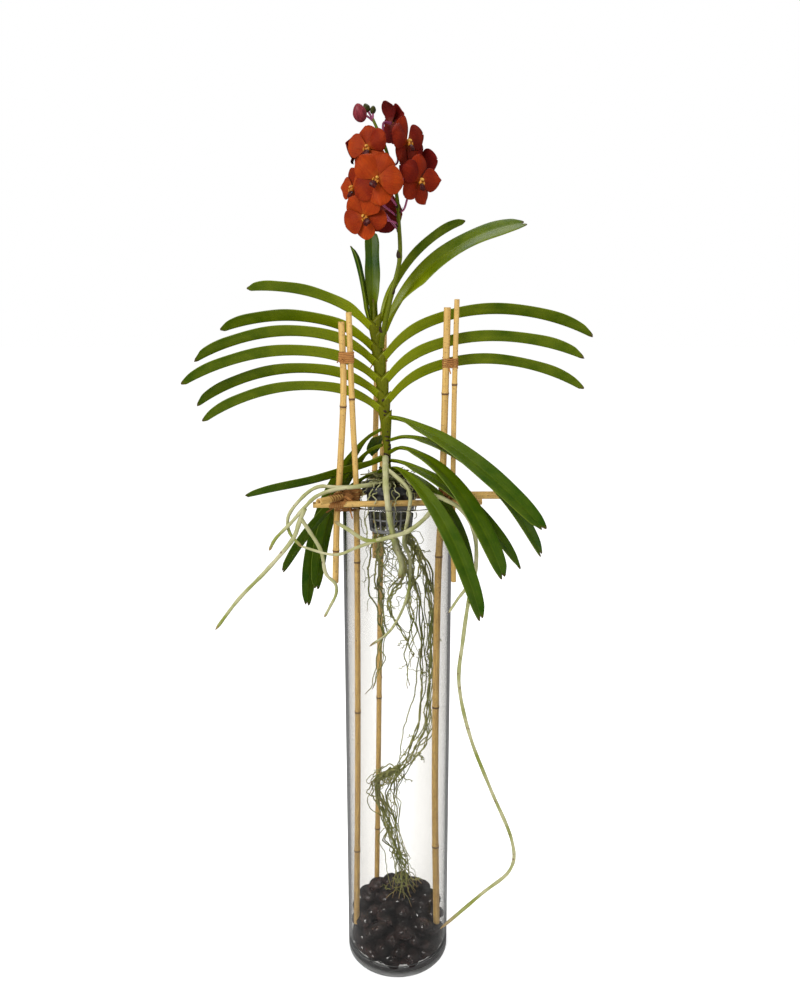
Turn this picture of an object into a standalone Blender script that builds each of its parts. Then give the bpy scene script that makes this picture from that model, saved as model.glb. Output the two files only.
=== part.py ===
"""A vanda orchid in a small net pot, hung by a bamboo frame at the mouth of a tall glass cylinder.

Metres, +Z up. The origin is the centre of the cylinder's foot, on the table, and the front is -Y.
"""
import math
import random

import bmesh
import bpy
from mathutils import Matrix, Vector
from mathutils.bvhtree import BVHTree

# Glass cylinder
GLASS_DIAMETER = 0.150
GLASS_HEIGHT = 0.700
GLASS_WALL = 0.004
GLASS_FLOOR = 0.012
GLASS_FOOT_ROUND = 0.005
GLASS_STEPS = 32

# The gap that touching pieces keep
SEAT_GAP = 0.0003

# Pebbles
PEBBLE_LENGTH = 0.031
PEBBLE_LAYERS = 3
PEBBLES_PER_LAYER = 8
PEBBLE_LAYER_RISE = 0.019
PEBBLE_RING_RADIUS = 0.055
PEBBLE_CORE_RADIUS = 0.054
PEBBLE_CORE_HEIGHT = 0.050
PEBBLES_ON_TOP = 5
CANE_CLEARANCE = 0.0012

# Bamboo canes: route points from top to bottom, then the radius
INNER_CANES = {
    "left": ([(-0.0615, -0.037, 0.950), (-0.0585, -0.036, 0.830), (-0.0540, -0.034, 0.705),
              (-0.0535, -0.032, 0.600), (-0.0560, -0.030, 0.300), (-0.0600, -0.029, 0.068)], 0.0038),
    "right": ([(0.0640, -0.028, 0.956), (0.0625, -0.027, 0.850), (0.0600, -0.025, 0.720),
               (0.0545, -0.026, 0.590), (0.0530, -0.028, 0.300), (0.0570, -0.028, 0.068)], 0.0045),
    "back": ([(-0.0185, 0.060, 0.930), (-0.0200, 0.060, 0.820), (-0.0225, 0.0605, 0.710),
              (-0.0260, 0.060, 0.560), (-0.0300, 0.058, 0.300), (-0.0340, 0.055, 0.080)], 0.0040),
}
OUTER_CANES = {
    "left": ([(-0.0710, -0.037, 0.938), (-0.0695, -0.036, 0.850), (-0.0755, -0.036, 0.750),
              (-0.0808, -0.036, 0.680), (-0.0840, -0.036, 0.592)], 0.0042),
    "right": ([(0.0760, -0.029, 0.966), (0.0742, -0.030, 0.850), (0.0738, -0.0323, 0.750),
               (0.0743, -0.0328, 0.680), (0.0765, -0.0325, 0.592)], 0.0034),
    "back": ([(-0.0285, 0.066, 0.935), (-0.0300, 0.068, 0.840), (-0.0325, 0.073, 0.750),
              (-0.0345, 0.0765, 0.680), (-0.0355, 0.0785, 0.595)], 0.0040),
}
RAILS = {
    "front": ([(-0.1100, -0.0570, 0.7043), (0.1120, -0.0375, 0.7043)], 0.0040),
    "left": ([(-0.0992, -0.0907, 0.7155), (-0.0020, 0.0776, 0.7048)], 0.0045),
    "right": ([(0.1340, -0.0637, 0.7188), (-0.0333, 0.0530, 0.6943)], 0.0050),
}
CANE_NODE_SWELL = 1.13
CANE_NODE_HALF = 0.0018

# Raffia: wall of the wrapping, and where the upper ties sit
RAFFIA_WALL = 0.0020
TIE_HEIGHTS = {"left": 0.893, "right": 0.886, "back": 0.890}
TIE_LENGTH = 0.016
LASHING_TOP = 0.725
LASHING_CROSSING_RADIUS = 0.0045
LASHINGS = {
    "left": (0.692, {"front": (0.09, 0.20), "left": (0.10, 0.36)}),
    "right": (0.7008, {"front": (0.86, 0.965), "right": (0.20, 0.42)}),
    "back": (0.7035, {"left": (0.72, 0.885), "right": (0.90, 0.99)}),
}

# Net pot, held by the rails
POT_X = -0.009
POT_Y = -0.010
POT_LIP_UNDERSIDE = 0.7147
POT_TOP = 0.7245
POT_LIP_RADIUS = 0.0388
POT_BAND_RADIUS = 0.0325
POT_BAND_BOTTOM = 0.6930
POT_BOTTOM = 0.6600
POT_BOTTOM_RADIUS = 0.0285
POT_HOLE_RADIUS = 0.0235
POT_WALL = 0.0016
POT_STEPS = 20
POT_SLOTS = 10
POT_SLOT_WIDTH = 0.0075

# Stem of the plant, from its foot in the pot to the growing tip
STEM_ROUTE = [
    (-0.0125, -0.010, 0.7088), (-0.0130, -0.010, 0.740), (-0.0145, -0.008, 0.783), (-0.0190, -0.005, 0.849),
    (-0.0245, -0.002, 0.888), (-0.0290, 0.000, 0.928), (-0.0315, 0.002, 0.967)]
STEM_BARE_RADIUS = 0.0046
SHEATH_TOP_RADIUS = 0.0070
SHEATH_FOOT_RADIUS = 0.0046
SHEATH_LENGTH = 0.030
SHEATH_FLATNESS = 0.72
SHEATH_SIDES = 7
SHEATH_LEAN = 0.0025
SHEATH_MOUTH_SLOPE = 0.9
SHEATHED_FROM = 0.80
SHEATHED_TO = 0.95

# Leaves: height on the stem (m), heading (deg), length (m), rise at the base (deg), slope at the tip (deg),
# how early it bends, full width (m), fold of the half nearer the front and of the far half (deg), sweep (deg)
LEAVES = {
    "leaf_left_1": (0.932, 184, 0.165, 50, -4, 0.60, 0.031, 72, 30, 0),
    "leaf_left_2": (0.905, 171, 0.213, 52, -18, 0.50, 0.034, 74, 30, 0),
    "leaf_left_3": (0.886, 183, 0.245, 52, -29, 0.55, 0.033, 72, 34, 0),
    "leaf_left_4": (0.864, 184, 0.263, 47, -29, 0.55, 0.033, 74, 34, 0),
    "leaf_left_5": (0.843, 177, 0.257, 45, -34, 0.60, 0.032, 74, 38, 0),
    "leaf_left_6": (0.824, 182, 0.243, 43, -33, 0.60, 0.031, 72, 38, 0),
    "leaf_right_1": (0.919, 6, 0.249, 73, 7, 0.88, 0.034, -4, 56, 0),
    "leaf_right_2": (0.938, 26, 0.187, 76, 20, 0.90, 0.031, 68, 20, 0),
    "leaf_right_3": (0.890, 3, 0.297, 62, -26, 0.56, 0.033, 74, 34, 0),
    "leaf_right_4": (0.862, -4, 0.271, 63, -22, 0.50, 0.033, 74, 26, 0),
    "leaf_right_5": (0.836, 0, 0.273, 62, -29, 0.54, 0.032, 72, 34, 0),
    "leaf_top_back": (0.958, 97, 0.100, 87, 78, 1.00, 0.020, 28, 28, 0),
    "leaf_top_front": (0.952, 162, 0.085, 84, 70, 1.00, 0.018, 45, 35, 0),
    "leaf_low_right_1": (0.811, -35, 0.258, 0, -44, 0.50, 0.034, -6, 46, 6),
    "leaf_low_right_2": (0.784, -28, 0.266, 23, -64, 0.53, 0.028, 2, 44, 8),
    "leaf_low_right_3": (0.770, -40, 0.250, 38, -61, 0.34, 0.031, 10, 24, -12),
    "leaf_low_right_4": (0.754, -44, 0.232, 1, -58, 0.75, 0.027, 4, 36, 29),
    "leaf_low_right_5": (0.745, -58, 0.263, 12, -66, 0.53, 0.026, 8, 32, 4),
    "leaf_low_right_6": (0.740, -33, 0.225, 12, -96, 0.62, 0.022, 20, 24, 0),
    "leaf_low_left_1": (0.752, 186, 0.184, -24, -9, 0.36, 0.028, 68, 12, 8),
    "leaf_low_left_2": (0.739, 190, 0.192, -3, -59, 0.34, 0.024, 64, -36, 6),
    "leaf_low_left_3": (0.792, 157, 0.296, -25, -87, 0.50, 0.026, 60, -30, 0),
    "leaf_low_left_4": (0.772, 163, 0.240, -17, -87, 0.43, 0.026, 58, -26, 0),
    "leaf_low_left_5": (0.785, 110, 0.062, 10, -55, 0.50, 0.022, 26, 26, 0),
}
LEAF_THICKNESS = 0.0014
LEAF_SEGMENTS = 8
LEAF_BASE_FOLD = 35
LEAF_START = 0.0130

# Flower spike
SPIKE_ROUTE = [
    (-0.0209, -0.0075, 0.905), (-0.0185, -0.0155, 0.925), (-0.0080, -0.021, 0.970), (0.0030, -0.020, 1.015),
    (0.0020, -0.018, 1.060), (-0.0010, -0.016, 1.095), (-0.0130, -0.014, 1.145), (-0.0300, -0.012, 1.183)]
SPIKE_FOOT_RADIUS = 0.0036
SPIKE_TIP_RADIUS = 0.0018

# Blooms: centre (m), facing heading and pitch (deg), roll (deg), span (m), height of the pedicel's foot (m)
BLOOMS = {
    "bloom_front": ((-0.0240, -0.066, 1.105), -94, 4, -28, 0.063, 1.079),
    "bloom_upper_left": ((-0.0354, -0.046, 1.1435), -114, 8, 5, 0.053, 1.112),
    "bloom_left": ((-0.0540, -0.028, 1.100), -146, 2, 8, 0.050, 1.068),
    "bloom_lower_left": ((-0.0398, -0.050, 1.0640), -110, -6, 35, 0.056, 1.056),
    "bloom_top_right": ((-0.0060, 0.014, 1.1840), 32, 10, 0, 0.052, 1.148),
    "bloom_right_upper": ((0.0125, -0.022, 1.1550), -34, 4, 4, 0.058, 1.128),
    "bloom_right_lower": ((0.0280, -0.034, 1.1080), -46, -4, -10, 0.053, 1.073),
    "bloom_back": ((-0.0210, 0.034, 1.0790), 100, 4, 12, 0.056, 1.050),
    "bloom_back_right": ((0.0260, 0.022, 1.1330), 40, 0, 0, 0.052, 1.098),
    "bloom_back_left": ((-0.0500, 0.000, 1.1450), 162, 4, 0, 0.048, 1.120),
}
TEPAL_THICKNESS = 0.0009
TEPAL_START = 0.0016
# Angle (deg), reach against half the span, breadth against the span, height at the foot and lift at the tip (m)
TEPALS = [
    (2, 0.98, 0.46, -0.0016, 0.0006), (74, 1.00, 0.50, 0.0010, 0.0030), (-71, 1.00, 0.49, 0.0016, 0.0034),
    (145, 0.98, 0.43, -0.0021, 0.0002), (-142, 0.97, 0.42, -0.0015, 0.0008)]
PEDICEL_RADIUS = 0.0013
PEDICEL_STEP_OUT = 0.006
PEDICEL_STEP_UP = 0.005
PEDICEL_BACK = 0.014
PEDICEL_SINK = 0.002

# Thick aerial roots: each a route of points with the radius at its start and tip
ROOT_FRONT = [
    ([(-0.0160, -0.0168, 0.7600), (-0.0155, -0.0400, 0.749), (-0.0145, -0.0610, 0.726), (-0.0100, -0.0640, 0.690),
      (-0.0030, -0.0640, 0.655), (0.0050, -0.0620, 0.628), (0.0035, -0.0600, 0.606)], 0.0034, 0.0026),
    ([(-0.0155, -0.0390, 0.749), (-0.0030, -0.0450, 0.741), (0.0160, -0.0590, 0.722), (0.0140, -0.0620, 0.690),
      (0.0085, -0.0560, 0.655), (0.0170, -0.0480, 0.625), (0.0130, -0.0440, 0.575), (-0.0080, -0.0420, 0.528),
      (-0.0380, -0.0400, 0.502)], 0.0024, 0.0012),
]
ROOT_RIGHT = [
    ([(-0.0110, -0.0159, 0.7325), (0.0180, -0.0370, 0.7300), (0.0380, -0.0570, 0.7200), (0.0440, -0.0740, 0.702),
      (0.0180, -0.0830, 0.678), (-0.0100, -0.0840, 0.668), (-0.0380, -0.0860, 0.664), (-0.0640, -0.0880, 0.680),
      (-0.0800, -0.0880, 0.690)], 0.0026, 0.0018),
    ([(0.0380, -0.0570, 0.7200), (0.0600, -0.0760, 0.7160), (0.0850, -0.0800, 0.7000), (0.1010, -0.0700, 0.6650),
      (0.1040, -0.0540, 0.6150), (0.0962, -0.0490, 0.5720), (0.0893, -0.0480, 0.5140), (0.0850, -0.0460, 0.4490),
      (0.1017, -0.0440, 0.3695), (0.1319, -0.0420, 0.2880), (0.1650, -0.0420, 0.2050), (0.1640, -0.0440, 0.1580),
      (0.1215, -0.0520, 0.1230), (0.0620, -0.0650, 0.0760)], 0.0022, 0.0019),
    ([(0.1040, -0.0540, 0.6150), (0.0930, -0.0570, 0.5930), (0.0800, -0.0560, 0.5740), (0.0690, -0.0540, 0.5550)],
     0.0020, 0.0013),
    ([(-0.0200, -0.0848, 0.6665), (-0.0516, -0.0880, 0.6554), (-0.0813, -0.0900, 0.6463), (-0.1250, -0.0900, 0.6580)],
     0.0018, 0.0012),
]
ROOT_LEFT = [
    ([(-0.0165, -0.0168, 0.7268), (-0.0450, -0.0450, 0.7275), (-0.0750, -0.0520, 0.7265), (-0.1020, -0.0540, 0.728),
      (-0.1220, -0.0580, 0.716), (-0.1410, -0.0640, 0.692), (-0.1400, -0.0680, 0.670), (-0.1240, -0.0740, 0.652)],
     0.0022, 0.0015),
    ([(-0.0165, -0.0168, 0.7268), (-0.0450, -0.0475, 0.7275), (-0.0760, -0.0555, 0.7255), (-0.1030, -0.0600, 0.7175),
      (-0.1200, -0.0660, 0.703), (-0.1370, -0.0700, 0.684), (-0.1570, -0.0740, 0.664), (-0.1660, -0.0760, 0.648)],
     0.0022, 0.0016),
    ([(-0.1200, -0.0660, 0.702), (-0.1270, -0.0685, 0.684), (-0.1370, -0.0710, 0.660), (-0.1700, -0.0800, 0.622),
      (-0.2050, -0.0900, 0.587), (-0.2360, -0.0960, 0.547)], 0.0026, 0.0017),
    ([(-0.1250, -0.0680, 0.689), (-0.1150, -0.0660, 0.672), (-0.1000, -0.0660, 0.645), (-0.0940, -0.0680, 0.615),
      (-0.0820, -0.0660, 0.600), (-0.0820, -0.0560, 0.582), (-0.0910, -0.0500, 0.562), (-0.0990, -0.0460, 0.546)],
     0.0022, 0.0014),
]
# Fine roots: the ball that fills the pot, and the strands that hang from it inside the glass
ROOT_BALL_CENTRE = (-0.009, -0.010, 0.688)
ROOT_BALL_RADIUS = 0.0302
ROOT_BALL_HALF_HEIGHT = 0.0205
FINE_ROOT_RADIUS = 0.0012
FINE_ROOTS = [
    [(-0.005, -0.008, 0.672), (0.012, 0.000, 0.645), (0.034, 0.012, 0.610), (0.049, 0.018, 0.555),
     (0.054, 0.022, 0.480), (0.052, 0.024, 0.403), (0.046, 0.020, 0.332), (0.016, 0.006, 0.302),
     (-0.010, 0.000, 0.284), (-0.044, -0.004, 0.272)],
    [(0.000, -0.006, 0.672), (0.016, 0.006, 0.640), (0.040, 0.020, 0.590), (0.047, 0.030, 0.520),
     (0.048, 0.033, 0.430), (0.041, 0.030, 0.350), (0.012, 0.020, 0.292), (-0.014, 0.014, 0.246),
     (0.002, 0.010, 0.190), (0.013, 0.004, 0.140), (0.022, -0.004, 0.098)],
    [(-0.012, -0.004, 0.672), (0.002, 0.012, 0.630), (0.026, 0.032, 0.570), (0.034, 0.042, 0.480),
     (0.034, 0.043, 0.390), (0.022, 0.034, 0.320), (-0.006, 0.024, 0.262), (-0.004, 0.018, 0.215),
     (-0.002, 0.004, 0.150), (-0.010, -0.010, 0.102)],
    [(-0.018, -0.008, 0.672), (-0.026, -0.006, 0.640), (-0.031, 0.000, 0.600), (-0.027, 0.008, 0.560),
     (-0.021, 0.012, 0.520), (-0.025, 0.012, 0.470), (-0.036, 0.004, 0.420)],
    [(-0.010, -0.016, 0.672), (-0.005, -0.020, 0.640), (0.006, -0.024, 0.615), (0.003, -0.018, 0.585),
     (-0.012, -0.012, 0.560), (-0.006, -0.008, 0.530), (0.010, -0.006, 0.500), (0.024, -0.002, 0.470)],
    [(-0.002, -0.014, 0.672), (0.016, -0.012, 0.650), (0.022, -0.006, 0.610), (0.015, 0.002, 0.570),
     (0.020, 0.010, 0.520), (0.012, 0.014, 0.470), (0.019, 0.016, 0.420)],
]


def clear_scene():
    for obj in list(bpy.data.objects):
        bpy.data.objects.remove(obj, do_unlink=True)


def make_collection(name):
    collection = bpy.data.collections.new(name)
    bpy.context.scene.collection.children.link(collection)
    return collection


def make_material(name, colour, roughness, metallic=0.0, transmission=0.0):
    material = bpy.data.materials.new(name)
    material.use_nodes = True
    shader = material.node_tree.nodes["Principled BSDF"]
    shader.inputs["Base Color"].default_value = (*colour, 1.0)
    shader.inputs["Roughness"].default_value = roughness
    shader.inputs["Metallic"].default_value = metallic
    shader.inputs["Transmission Weight"].default_value = transmission
    material.diffuse_color = (*colour, 1.0)
    return material


def link_mesh(name, bm, collection, material=None):
    mesh = bpy.data.meshes.new(name)
    bm.normal_update()
    bm.to_mesh(mesh)
    bm.free()
    obj = bpy.data.objects.new(name, mesh)
    collection.objects.link(obj)
    if material:
        mesh.materials.append(material)
    return obj


def as_mesh(obj, merge=0.00002):
    """Turn a curve or a modified object into a plain mesh object of the same name and place."""
    depsgraph = bpy.context.evaluated_depsgraph_get()
    mesh = bpy.data.meshes.new_from_object(obj.evaluated_get(depsgraph))
    bm = bmesh.new()
    bm.from_mesh(mesh)
    bmesh.ops.remove_doubles(bm, verts=bm.verts, dist=merge)
    bm.to_mesh(mesh)
    bm.free()
    name = obj.name
    matrix = obj.matrix_world.copy()
    collection = obj.users_collection[0]
    bpy.data.objects.remove(obj, do_unlink=True)
    made = bpy.data.objects.new(name, mesh)
    made.matrix_world = matrix
    collection.objects.link(made)
    return made


def combine(name, pieces, collection, material, operation="UNION", solver="EXACT"):
    """Join the first piece with the others, or cut the others from it, in one Boolean."""
    body = pieces[0]
    others = make_collection(name + "_operands")
    for piece in pieces[1:]:
        for holder in list(piece.users_collection):
            holder.objects.unlink(piece)
        others.objects.link(piece)
    modifier = body.modifiers.new("join", "BOOLEAN")
    modifier.operation = operation
    modifier.solver = solver
    modifier.operand_type = "COLLECTION"
    modifier.collection = others
    made = as_mesh(body, merge=0.000005)
    for piece in list(others.objects):
        bpy.data.objects.remove(piece, do_unlink=True)
    bpy.data.collections.remove(others)
    for holder in list(made.users_collection):
        holder.objects.unlink(made)
    collection.objects.link(made)
    made.name = name
    made.data.name = name
    made.data.materials.clear()
    if material:
        made.data.materials.append(material)
    return made


def smooth_route(points, pieces):
    """Points along a smooth curve through the given ones, with so many pieces between each two."""
    points = [Vector(p) for p in points]
    padded = [2 * points[0] - points[1]] + points + [2 * points[-1] - points[-2]]
    route = []
    for i in range(1, len(padded) - 2):
        before, start, end, after = padded[i - 1:i + 3]
        for k in range(pieces):
            t = k / pieces
            route.append(0.5 * ((2 * start) + (end - before) * t
                                + (2 * before - 5 * start + 4 * end - after) * t * t
                                + (3 * start - before - 3 * end + after) * t ** 3))
    route.append(points[-1])
    return route


def tube(name, route, radii, collection, material=None, resolution=1):
    """A round tube along the route: a poly curve with a bevel, one radius for each point."""
    curve = bpy.data.curves.new(name, "CURVE")
    curve.dimensions = "3D"
    curve.bevel_depth = 1.0
    curve.bevel_resolution = resolution
    curve.use_fill_caps = True
    spline = curve.splines.new("POLY")
    spline.points.add(len(route) - 1)
    for point, place, radius in zip(spline.points, route, radii):
        point.co = (*place, 1.0)
        point.radius = radius
    obj = bpy.data.objects.new(name, curve)
    collection.objects.link(obj)
    if material:
        curve.materials.append(material)
    return obj


def rod(name, start, end, radius, collection, sides=8):
    """A straight cylinder from start to end."""
    start = Vector(start)
    end = Vector(end)
    axis = end - start
    bm = bmesh.new()
    bmesh.ops.create_cone(bm, cap_ends=True, segments=sides, radius1=radius, radius2=radius, depth=axis.length)
    turn = axis.to_track_quat("Z", "Y").to_matrix().to_4x4()
    bmesh.ops.transform(bm, matrix=Matrix.Translation((start + end) / 2) @ turn, verts=bm.verts)
    return link_mesh(name, bm, collection)


def turned(name, profile, centre, steps, collection, material):
    """A profile in the XZ plane turned about the vertical through the centre."""
    bm = bmesh.new()
    verts = [bm.verts.new((x, 0.0, z)) for x, z in profile]
    for a, b in zip(verts, verts[1:]):
        bm.edges.new((a, b))
    obj = link_mesh(name, bm, collection, material)
    obj.location = (centre[0], centre[1], 0.0)
    screw = obj.modifiers.new("turn", "SCREW")
    screw.steps = steps
    screw.render_steps = steps
    screw.use_merge_vertices = True
    screw.merge_threshold = 0.00005
    return obj


def point_at_height(route, z):
    """Where a route that rises or falls all the way crosses the height z."""
    for a, b in zip(route, route[1:]):
        low, high = sorted((a[2], b[2]))
        if low <= z <= high:
            t = (z - a[2]) / (b[2] - a[2])
            return Vector(a).lerp(Vector(b), t)
    return Vector(route[-1])


def build_glass(collection):
    outer = GLASS_DIAMETER / 2
    inner = outer - GLASS_WALL
    lip = GLASS_WALL / 4
    profile = [
        (0.0, GLASS_FLOOR), (inner - 0.004, GLASS_FLOOR), (inner, GLASS_FLOOR + 0.004),
        (inner, GLASS_HEIGHT - lip), (inner + lip, GLASS_HEIGHT), (outer - lip, GLASS_HEIGHT),
        (outer, GLASS_HEIGHT - lip), (outer, GLASS_FOOT_ROUND),
        (outer - 0.3 * GLASS_FOOT_ROUND, 0.3 * GLASS_FOOT_ROUND), (outer - GLASS_FOOT_ROUND, 0.0), (0.0, 0.0)]
    material = make_material("clear_glass", (0.93, 0.95, 0.95), 0.02, transmission=1.0)
    return turned("glass_cylinder", profile, (0, 0), GLASS_STEPS, collection, material)


def build_pebbles(collection, canes):
    """A bed of stones fused where they touch, on a smaller core, with room left for the canes."""
    rng = random.Random(7)
    floor = GLASS_FLOOR + SEAT_GAP
    core = rod("pebbles", (0, 0, floor), (0, 0, floor + PEBBLE_CORE_HEIGHT), PEBBLE_CORE_RADIUS, collection, 16)
    stones = [core]
    places = []
    for layer in range(PEBBLE_LAYERS):
        height = floor + PEBBLE_LENGTH * 0.42 + layer * PEBBLE_LAYER_RISE
        for k in range(PEBBLES_PER_LAYER):
            angle = math.tau * (k + 0.5 * (layer % 2)) / PEBBLES_PER_LAYER + rng.uniform(-0.05, 0.05)
            radius = PEBBLE_RING_RADIUS - 0.002 * layer
            places.append((radius * math.cos(angle), radius * math.sin(angle), height + rng.uniform(0, 0.004)))
    for k in range(PEBBLES_ON_TOP):
        angle = math.tau * (k + 0.3) / PEBBLES_ON_TOP
        places.append((0.030 * math.cos(angle), 0.030 * math.sin(angle),
                       floor + PEBBLE_CORE_HEIGHT + rng.uniform(0.005, 0.012)))
    places.append((0.004, 0.006, floor + PEBBLE_CORE_HEIGHT + 0.012))
    for place in places:
        bm = bmesh.new()
        bmesh.ops.create_icosphere(bm, subdivisions=2, radius=0.5)
        size = Vector((rng.uniform(0.85, 1.05), rng.uniform(0.65, 0.85), rng.uniform(0.50, 0.68))) * PEBBLE_LENGTH
        turn = Matrix.Rotation(rng.uniform(0, math.tau), 4, "Z") @ Matrix.Rotation(rng.uniform(-0.5, 0.5), 4, "X")
        bmesh.ops.scale(bm, vec=size, verts=bm.verts)
        bmesh.ops.transform(bm, matrix=Matrix.Translation(place) @ turn, verts=bm.verts)
        limit = GLASS_DIAMETER / 2 - GLASS_WALL - 0.0006
        for vert in bm.verts:
            reach = math.hypot(vert.co.x, vert.co.y)
            if reach > limit:
                vert.co.x *= limit / reach
                vert.co.y *= limit / reach
            vert.co.z = max(vert.co.z, floor + 0.0004)
        stones.append(link_mesh("stone", bm, collection))
    bed = combine("pebbles", stones, collection, None)
    cutters = [bed]
    for route, radius in canes:
        foot = Vector(route[-1])
        above = point_at_height(route, 0.18)
        beyond = foot + (foot - above).normalized() * 0.006
        cutters.append(rod("cane_room", above, beyond, radius + CANE_CLEARANCE, collection, 8))
    material = make_material("river_pebble", (0.035, 0.030, 0.030), 0.35)
    return combine("pebbles", cutters, collection, material, operation="DIFFERENCE")


def cane_stations(route, radius, first_node, spacing):
    """Points and radii along a cane: its own bends, and three close points at each node ring."""
    route = [Vector(p) for p in route]
    lengths = [0.0]
    for a, b in zip(route, route[1:]):
        lengths.append(lengths[-1] + (b - a).length)
    total = lengths[-1]

    def place(distance):
        for i in range(len(route) - 1):
            if distance <= lengths[i + 1] or i == len(route) - 2:
                return route[i].lerp(route[i + 1], (distance - lengths[i]) / (lengths[i + 1] - lengths[i]))

    stations = [(0.0, 1.0), (total, 1.0)]
    node = first_node
    while node < total - 0.02:
        stations += [(node - CANE_NODE_HALF, 1.0), (node, CANE_NODE_SWELL), (node + CANE_NODE_HALF, 1.0)]
        node += spacing
    for bend in lengths[1:-1]:
        if all(abs(bend - s) > 0.012 for s, _ in stations):
            stations.append((bend, 1.0))
    stations.sort()
    return [place(s) for s, _ in stations], [radius * swell for _, swell in stations]


def build_canes(collection):
    material = make_material("bamboo", (0.62, 0.42, 0.17), 0.45)
    groups = [("cane_inner_", INNER_CANES, 0.110, 0.220), ("cane_outer_", OUTER_CANES, 0.108, 0.194),
              ("rail_", RAILS, 0.100, 0.170)]
    for prefix, canes, first_node, spacing in groups:
        for side, (route, radius) in canes.items():
            bends = smooth_route(route, 2) if len(route) > 2 else route
            points, radii = cane_stations(bends, radius, first_node, spacing)
            tube(prefix + side, points, radii, collection, material, resolution=2)


def sleeve(name, pieces, collection, material, crossing=None):
    """Raffia round several canes: one skin about them all, with plain room for each cane."""
    skins = [rod(name + "_crossing", *crossing, LASHING_CROSSING_RADIUS, collection)] if crossing else []
    rooms = []
    for start, end, radius in pieces:
        start = Vector(start)
        end = Vector(end)
        along = (end - start).normalized()
        skins.append(rod(name + "_skin", start, end, radius + RAFFIA_WALL + 0.0005, collection))
        rooms.append(rod(name + "_room", start - along * 0.03, end + along * 0.03, radius + 0.0009, collection))
    body = combine(name, skins, collection, None)
    return combine(name, [body] + rooms, collection, material, operation="DIFFERENCE")


def stretch(route, low, high):
    return point_at_height(route, high), point_at_height(route, low)


def build_raffia(collection):
    material = make_material("raffia", (0.42, 0.22, 0.09), 0.75)
    for side, height in TIE_HEIGHTS.items():
        pieces = []
        for route, radius in (INNER_CANES[side], OUTER_CANES[side]):
            fine = smooth_route(route, 2)
            start, end = stretch(fine, height - TIE_LENGTH / 2, height + TIE_LENGTH / 2)
            pieces.append((start, end, radius))
        sleeve("tie_" + side, pieces, collection, material)
    for side, (foot, spans) in LASHINGS.items():
        pieces = []
        crossing = []
        for route, radius in (INNER_CANES[side], OUTER_CANES[side]):
            start, end = stretch(smooth_route(route, 2), foot, LASHING_TOP)
            pieces.append((start, end, radius))
            crossing.append((start + end) / 2)
        for rail, (near, far) in spans.items():
            (start, end), radius = RAILS[rail]
            start = Vector(start)
            end = Vector(end)
            pieces.append((start.lerp(end, near), start.lerp(end, far), radius))
        sleeve("lashing_" + side, pieces, collection, material, crossing)


def build_pot(collection):
    profile = [
        (POT_HOLE_RADIUS, POT_BOTTOM + POT_WALL),
        (POT_BOTTOM_RADIUS - POT_WALL, POT_BOTTOM + POT_WALL),
        (POT_BAND_RADIUS - POT_WALL, POT_BAND_BOTTOM),
        (POT_BAND_RADIUS - POT_WALL, POT_TOP),
        (POT_LIP_RADIUS, POT_TOP),
        (POT_LIP_RADIUS, POT_LIP_UNDERSIDE),
        (POT_BAND_RADIUS, POT_LIP_UNDERSIDE),
        (POT_BAND_RADIUS, POT_BAND_BOTTOM),
        (POT_BOTTOM_RADIUS, POT_BOTTOM),
        (POT_HOLE_RADIUS, POT_BOTTOM),
        (POT_HOLE_RADIUS, POT_BOTTOM + POT_WALL)]
    pot = as_mesh(turned("net_pot", profile, (POT_X, POT_Y), POT_STEPS, collection, None), merge=0.00005)
    cutters = [pot]
    low = POT_BOTTOM + 0.005
    high = POT_BAND_BOTTOM - 0.004
    for k in range(POT_SLOTS // 2):
        bm = bmesh.new()
        bmesh.ops.create_cube(bm, size=1.0)
        bmesh.ops.scale(bm, vec=(0.1, POT_SLOT_WIDTH, high - low), verts=bm.verts)
        turn = Matrix.Rotation(math.pi * (k + 0.5) / (POT_SLOTS // 2), 4, "Z")
        bmesh.ops.transform(bm, matrix=Matrix.Translation((POT_X, POT_Y, (low + high) / 2)) @ turn, verts=bm.verts)
        cutters.append(link_mesh("slot", bm, collection))
    material = make_material("pot_plastic", (0.045, 0.047, 0.052), 0.5)
    return combine("net_pot", cutters, collection, material, operation="DIFFERENCE")


def stem_point(z):
    return point_at_height(STEM_ROUTE, z)


def build_stem(collection):
    """The bare stem, fused with one flattened sheath below each leaf."""
    radii = [STEM_BARE_RADIUS] * len(STEM_ROUTE)
    radii[-1] = STEM_BARE_RADIUS * 0.6
    pieces = [as_mesh(tube("stem", STEM_ROUTE, radii, collection, resolution=2))]
    for spec in LEAVES.values():
        height, heading = spec[:2]
        if not SHEATHED_FROM < height < SHEATHED_TO:
            continue
        out = Vector((math.cos(math.radians(heading)), math.sin(math.radians(heading)), 0))
        top = stem_point(height + 0.004) + out * SHEATH_LEAN
        foot = stem_point(height - SHEATH_LENGTH)
        axis = top - foot
        bm = bmesh.new()
        bmesh.ops.create_cone(bm, cap_ends=True, segments=SHEATH_SIDES, radius1=SHEATH_FOOT_RADIUS,
                              radius2=SHEATH_TOP_RADIUS, depth=axis.length)
        bmesh.ops.scale(bm, vec=(1.0, SHEATH_FLATNESS, 1.0), verts=bm.verts)
        slope = SHEATH_MOUTH_SLOPE * (1 if out.x > 0 else -1)
        for vert in bm.verts:
            if vert.co.z > 0:
                vert.co.z += slope * vert.co.x
        turn = axis.to_track_quat("Z", "Y").to_matrix().to_4x4()
        bmesh.ops.transform(bm, matrix=Matrix.Translation((top + foot) / 2) @ turn, verts=bm.verts)
        pieces.append(link_mesh("sheath", bm, collection))
    material = make_material("stem_green", (0.12, 0.15, 0.02), 0.5)
    return combine("stem", pieces, collection, material)


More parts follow.
